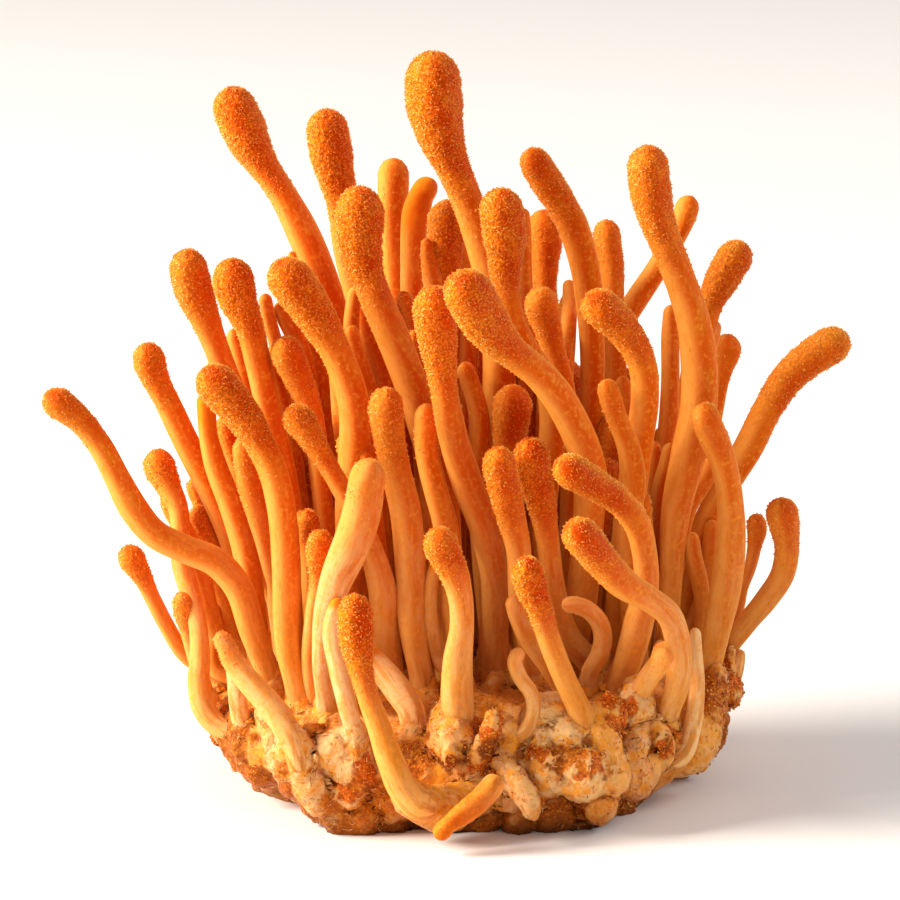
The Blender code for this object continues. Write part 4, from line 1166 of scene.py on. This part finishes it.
def myceliumFelt():  # dried felt of fungus threads: matt, uneven, with crumbs of its grain bed; painted highlights on raised parts and granule centres, painted shade in hollows, between granules and near the floor
    material, add = newMaterial("mycelium_felt_matt")
    place = add("TexCoord", out="Object")
    names = (*paleTints, *deepTints, "relief")
    read = {n: add("Attribute", out="Fac", attribute_name=n) for n in names}
    noise = {}
    for name, (size, inputs, settings) in matPatterns.items():
        noise[name] = add("TexNoise", {"Vector": place, "Scale": 1 / (size * mm), **inputs}, **settings)
    cells = add("TexVoronoi", {"Vector": place, "Scale": 1 / (0.45 * mm)}, "Distance")  # one granule each
    edge = add("Math", {0: noise["small"], 1: 1.5, 2: -0.75}, operation="MULTIPLY_ADD")
    deep = add("Math", {0: read["granular"], 1: read["orange"]}, operation="ADD", use_clamp=True)
    flaky = add("ValToRGB", {0: noise["flake"]}, stops=((0.4, 0.4), (0.55, 1.0)))
    deep = add("Math", {0: deep, 1: flaky}, operation="MULTIPLY")
    height = add("SeparateXYZ", {0: place}, "Z")
    lower = {"Value": height, "From Min": 1.0 * mm, "From Max": 5.5 * mm, "To Min": 0.6, "To Max": 0.0}
    lowest = {"Value": height, "From Min": 0.2 * mm, "From Max": 2.4 * mm, "To Min": 0.85, "To Max": 0.0}
    lower, lowest = add("MapRange", lower), add("MapRange", lowest)

    def tinted(tints, full):
        coats = []
        for tint in tints:
            share = add("Math", {0: read[tint], 1: edge}, operation="ADD")
            near = add("ValToRGB", {0: read[tint]}, stops=((0.0, 0.0), (0.3, 1.0)))
            coats.append((share, ((0.25, 0.0), (full, 0.88)), (near,), tint))
        return coats

    ground = add("ValToRGB", {0: noise["broad"]}, stops=((0.36, matLook["tan"]), (0.58, matLook["cream"])))
    colour = coated(add, ground, matLook, (
        *tinted(paleTints, 0.85),
        # Painted highlight: raised parts paler
        (read["relief"], ((0.6, 0.0), (0.9, 0.45)), (), "white"),
        (noise["flake"], ((0.5, 0.0), (0.57, 0.8)), (), "flake"),
        (noise["crust"], ((0.55, 0.0), (0.61, 0.75)), (), "crust"),
        (noise["thread"], ((0.56, 0.0), (0.66, 0.5)), (), "white"),
        *tinted(deepTints, 0.8),
        # Painted highlight at granule centres and painted shade in the gaps between them
        (cells, ((0.1, 0.85), (0.4, 0.0)), (deep,), "flake"),
        (cells, ((0.5, 0.0), (0.8, 0.8)), (deep,), "pitShade"),
        # Painted shade: hollows darker
        (read["relief"], ((0.15, 0.85), (0.42, 0.0)), (), "pitShade"),
        (noise["flake"], ((0.4, 0.3), (0.55, 1.0)), (lower,), "crust"),
        # Painted shade: very dark brown near the floor
        (noise["broad"], ((0.35, 1.0), (0.62, 0.5)), (lowest,), "under"),
    ))
    granules = add("Math", {0: deep, 1: cells}, operation="MULTIPLY")
    bump = add("Bump", {"Height": noise["small"], "Strength": 0.6, "Distance": 0.3 * mm})
    bump = add("Bump", {"Height": noise["thread"], "Normal": bump, "Strength": 0.5, "Distance": 0.2 * mm})
    lumpy = {"Height": granules, "Normal": bump, "Strength": 0.8, "Distance": 0.25 * mm}
    bump = add("Bump", lumpy, invert=True)
    return finished(material, add, {
        "Base Color": colour, "Normal": bump, "Roughness": 0.36, "IOR": 1.4,
        "Subsurface Weight": 0.15, "Subsurface Radius": (1.0, 0.5, 0.2), "Subsurface Scale": 0.8 * mm,
        "Specular IOR Level": 0.5, "Specular Tint": "#ffd8a0",
    })


crumbLooks = {  # tones from dark to pale, and roughness
    # Dry fruiting grains, which sparkle softly like sand; their paler tones on a head's sides are a painted
    # rim highlight
    "grains_velvet_painted_rim": (((0.0, "#e45c06"), (0.4, "#ee7a12"), (0.75, "#fbaa3a"), (1.0, "#ffca6e")), 0.5),
    # Moist crumbs of the grain bed, with small sharp glints
    "granules_moist": (((0.0, "#9a3e08"), (0.35, "#cc640c"), (0.7, "#e8901c"), (1.0, "#f6b848")), 0.3),
    # Charred specks, nearly black with a dull gloss
    "specks_charred": (((0.0, "#1c120c"), (0.6, "#3a1c10"), (1.0, "#7a3412")), 0.35),
    # Dry threads, brown to straw and matt
    "threads_dry": (((0.0, "#8a420c"), (0.5, "#b8661a"), (0.75, "#e0a050"), (1.0, "#f2cf98")), 0.5),
}


def crumbFinish(name):  # each grain, crumb or thread is of one tone, so that they stand apart
    material, add = newMaterial(name)
    stops, roughness = crumbLooks[name]
    tone = add("Attribute", out="Fac", attribute_name="tone")
    colour = add("ValToRGB", {0: tone}, stops=stops)
    return finished(material, add, {"Base Color": colour, "Roughness": roughness, "IOR": 1.45})


paint(grainPieces, crumbFinish("grains_velvet_painted_rim"))
paint([matPiece], myceliumFelt())
paint([granulePiece], crumbFinish("granules_moist"))
paint([speckPiece], crumbFinish("specks_charred"))
paint([fibrePiece], crumbFinish("threads_dry"))
print("mat painted")


# Floor and light
studio = {
    "floor": "#f7f5f2", "floorWide": 6,  # metres
    "sky": 0.36,
    "target": (0, 0, 0.03),  # metres
    "boxes": {  # place and size in metres, power in watts, colour
        "keyLight": ((-0.85, -0.12, 0.50), 0.5, 20.6, "#fff6ea"),
        "fillLight": ((0.10, -0.90, 0.45), 0.6, 0.9, "#ffffff"),
        "rimLight": ((0.75, 0.15, 0.45), 0.5, 3.0, "#ffffff"),
    },
}


def addFloor():  # matt paper, which takes a soft shadow and no gloss
    deselect()
    bpy.ops.mesh.primitive_plane_add(size=studio["floorWide"])
    floor = bpy.context.object
    floor.name = "studioFloor"
    material, add = newMaterial("studio_paper_matt")
    paper = {"Base Color": studio["floor"], "Roughness": 0.9, "Specular IOR Level": 0.1}
    floor.data.materials.append(finished(material, add, paper))


def addSoftbox(name, place, size, power, colour):
    data = bpy.data.lights.new(name, "AREA")
    data.shape, data.size, data.energy, data.color = "DISK", size, power, linear(colour)[:3]
    aim(addObject(name, data), place, studio["target"])


addFloor()
for name, box in studio["boxes"].items():
    addSoftbox(name, *box)
world = bpy.data.worlds.new("studioSky")
bpy.context.scene.world = world
world.use_nodes = True
sky = world.node_tree.nodes["Background"].inputs
sky[0].default_value, sky[1].default_value = (1, 1, 1, 1), studio["sky"]
bpy.context.scene.view_settings.view_transform = "Standard"
print("studio lit")
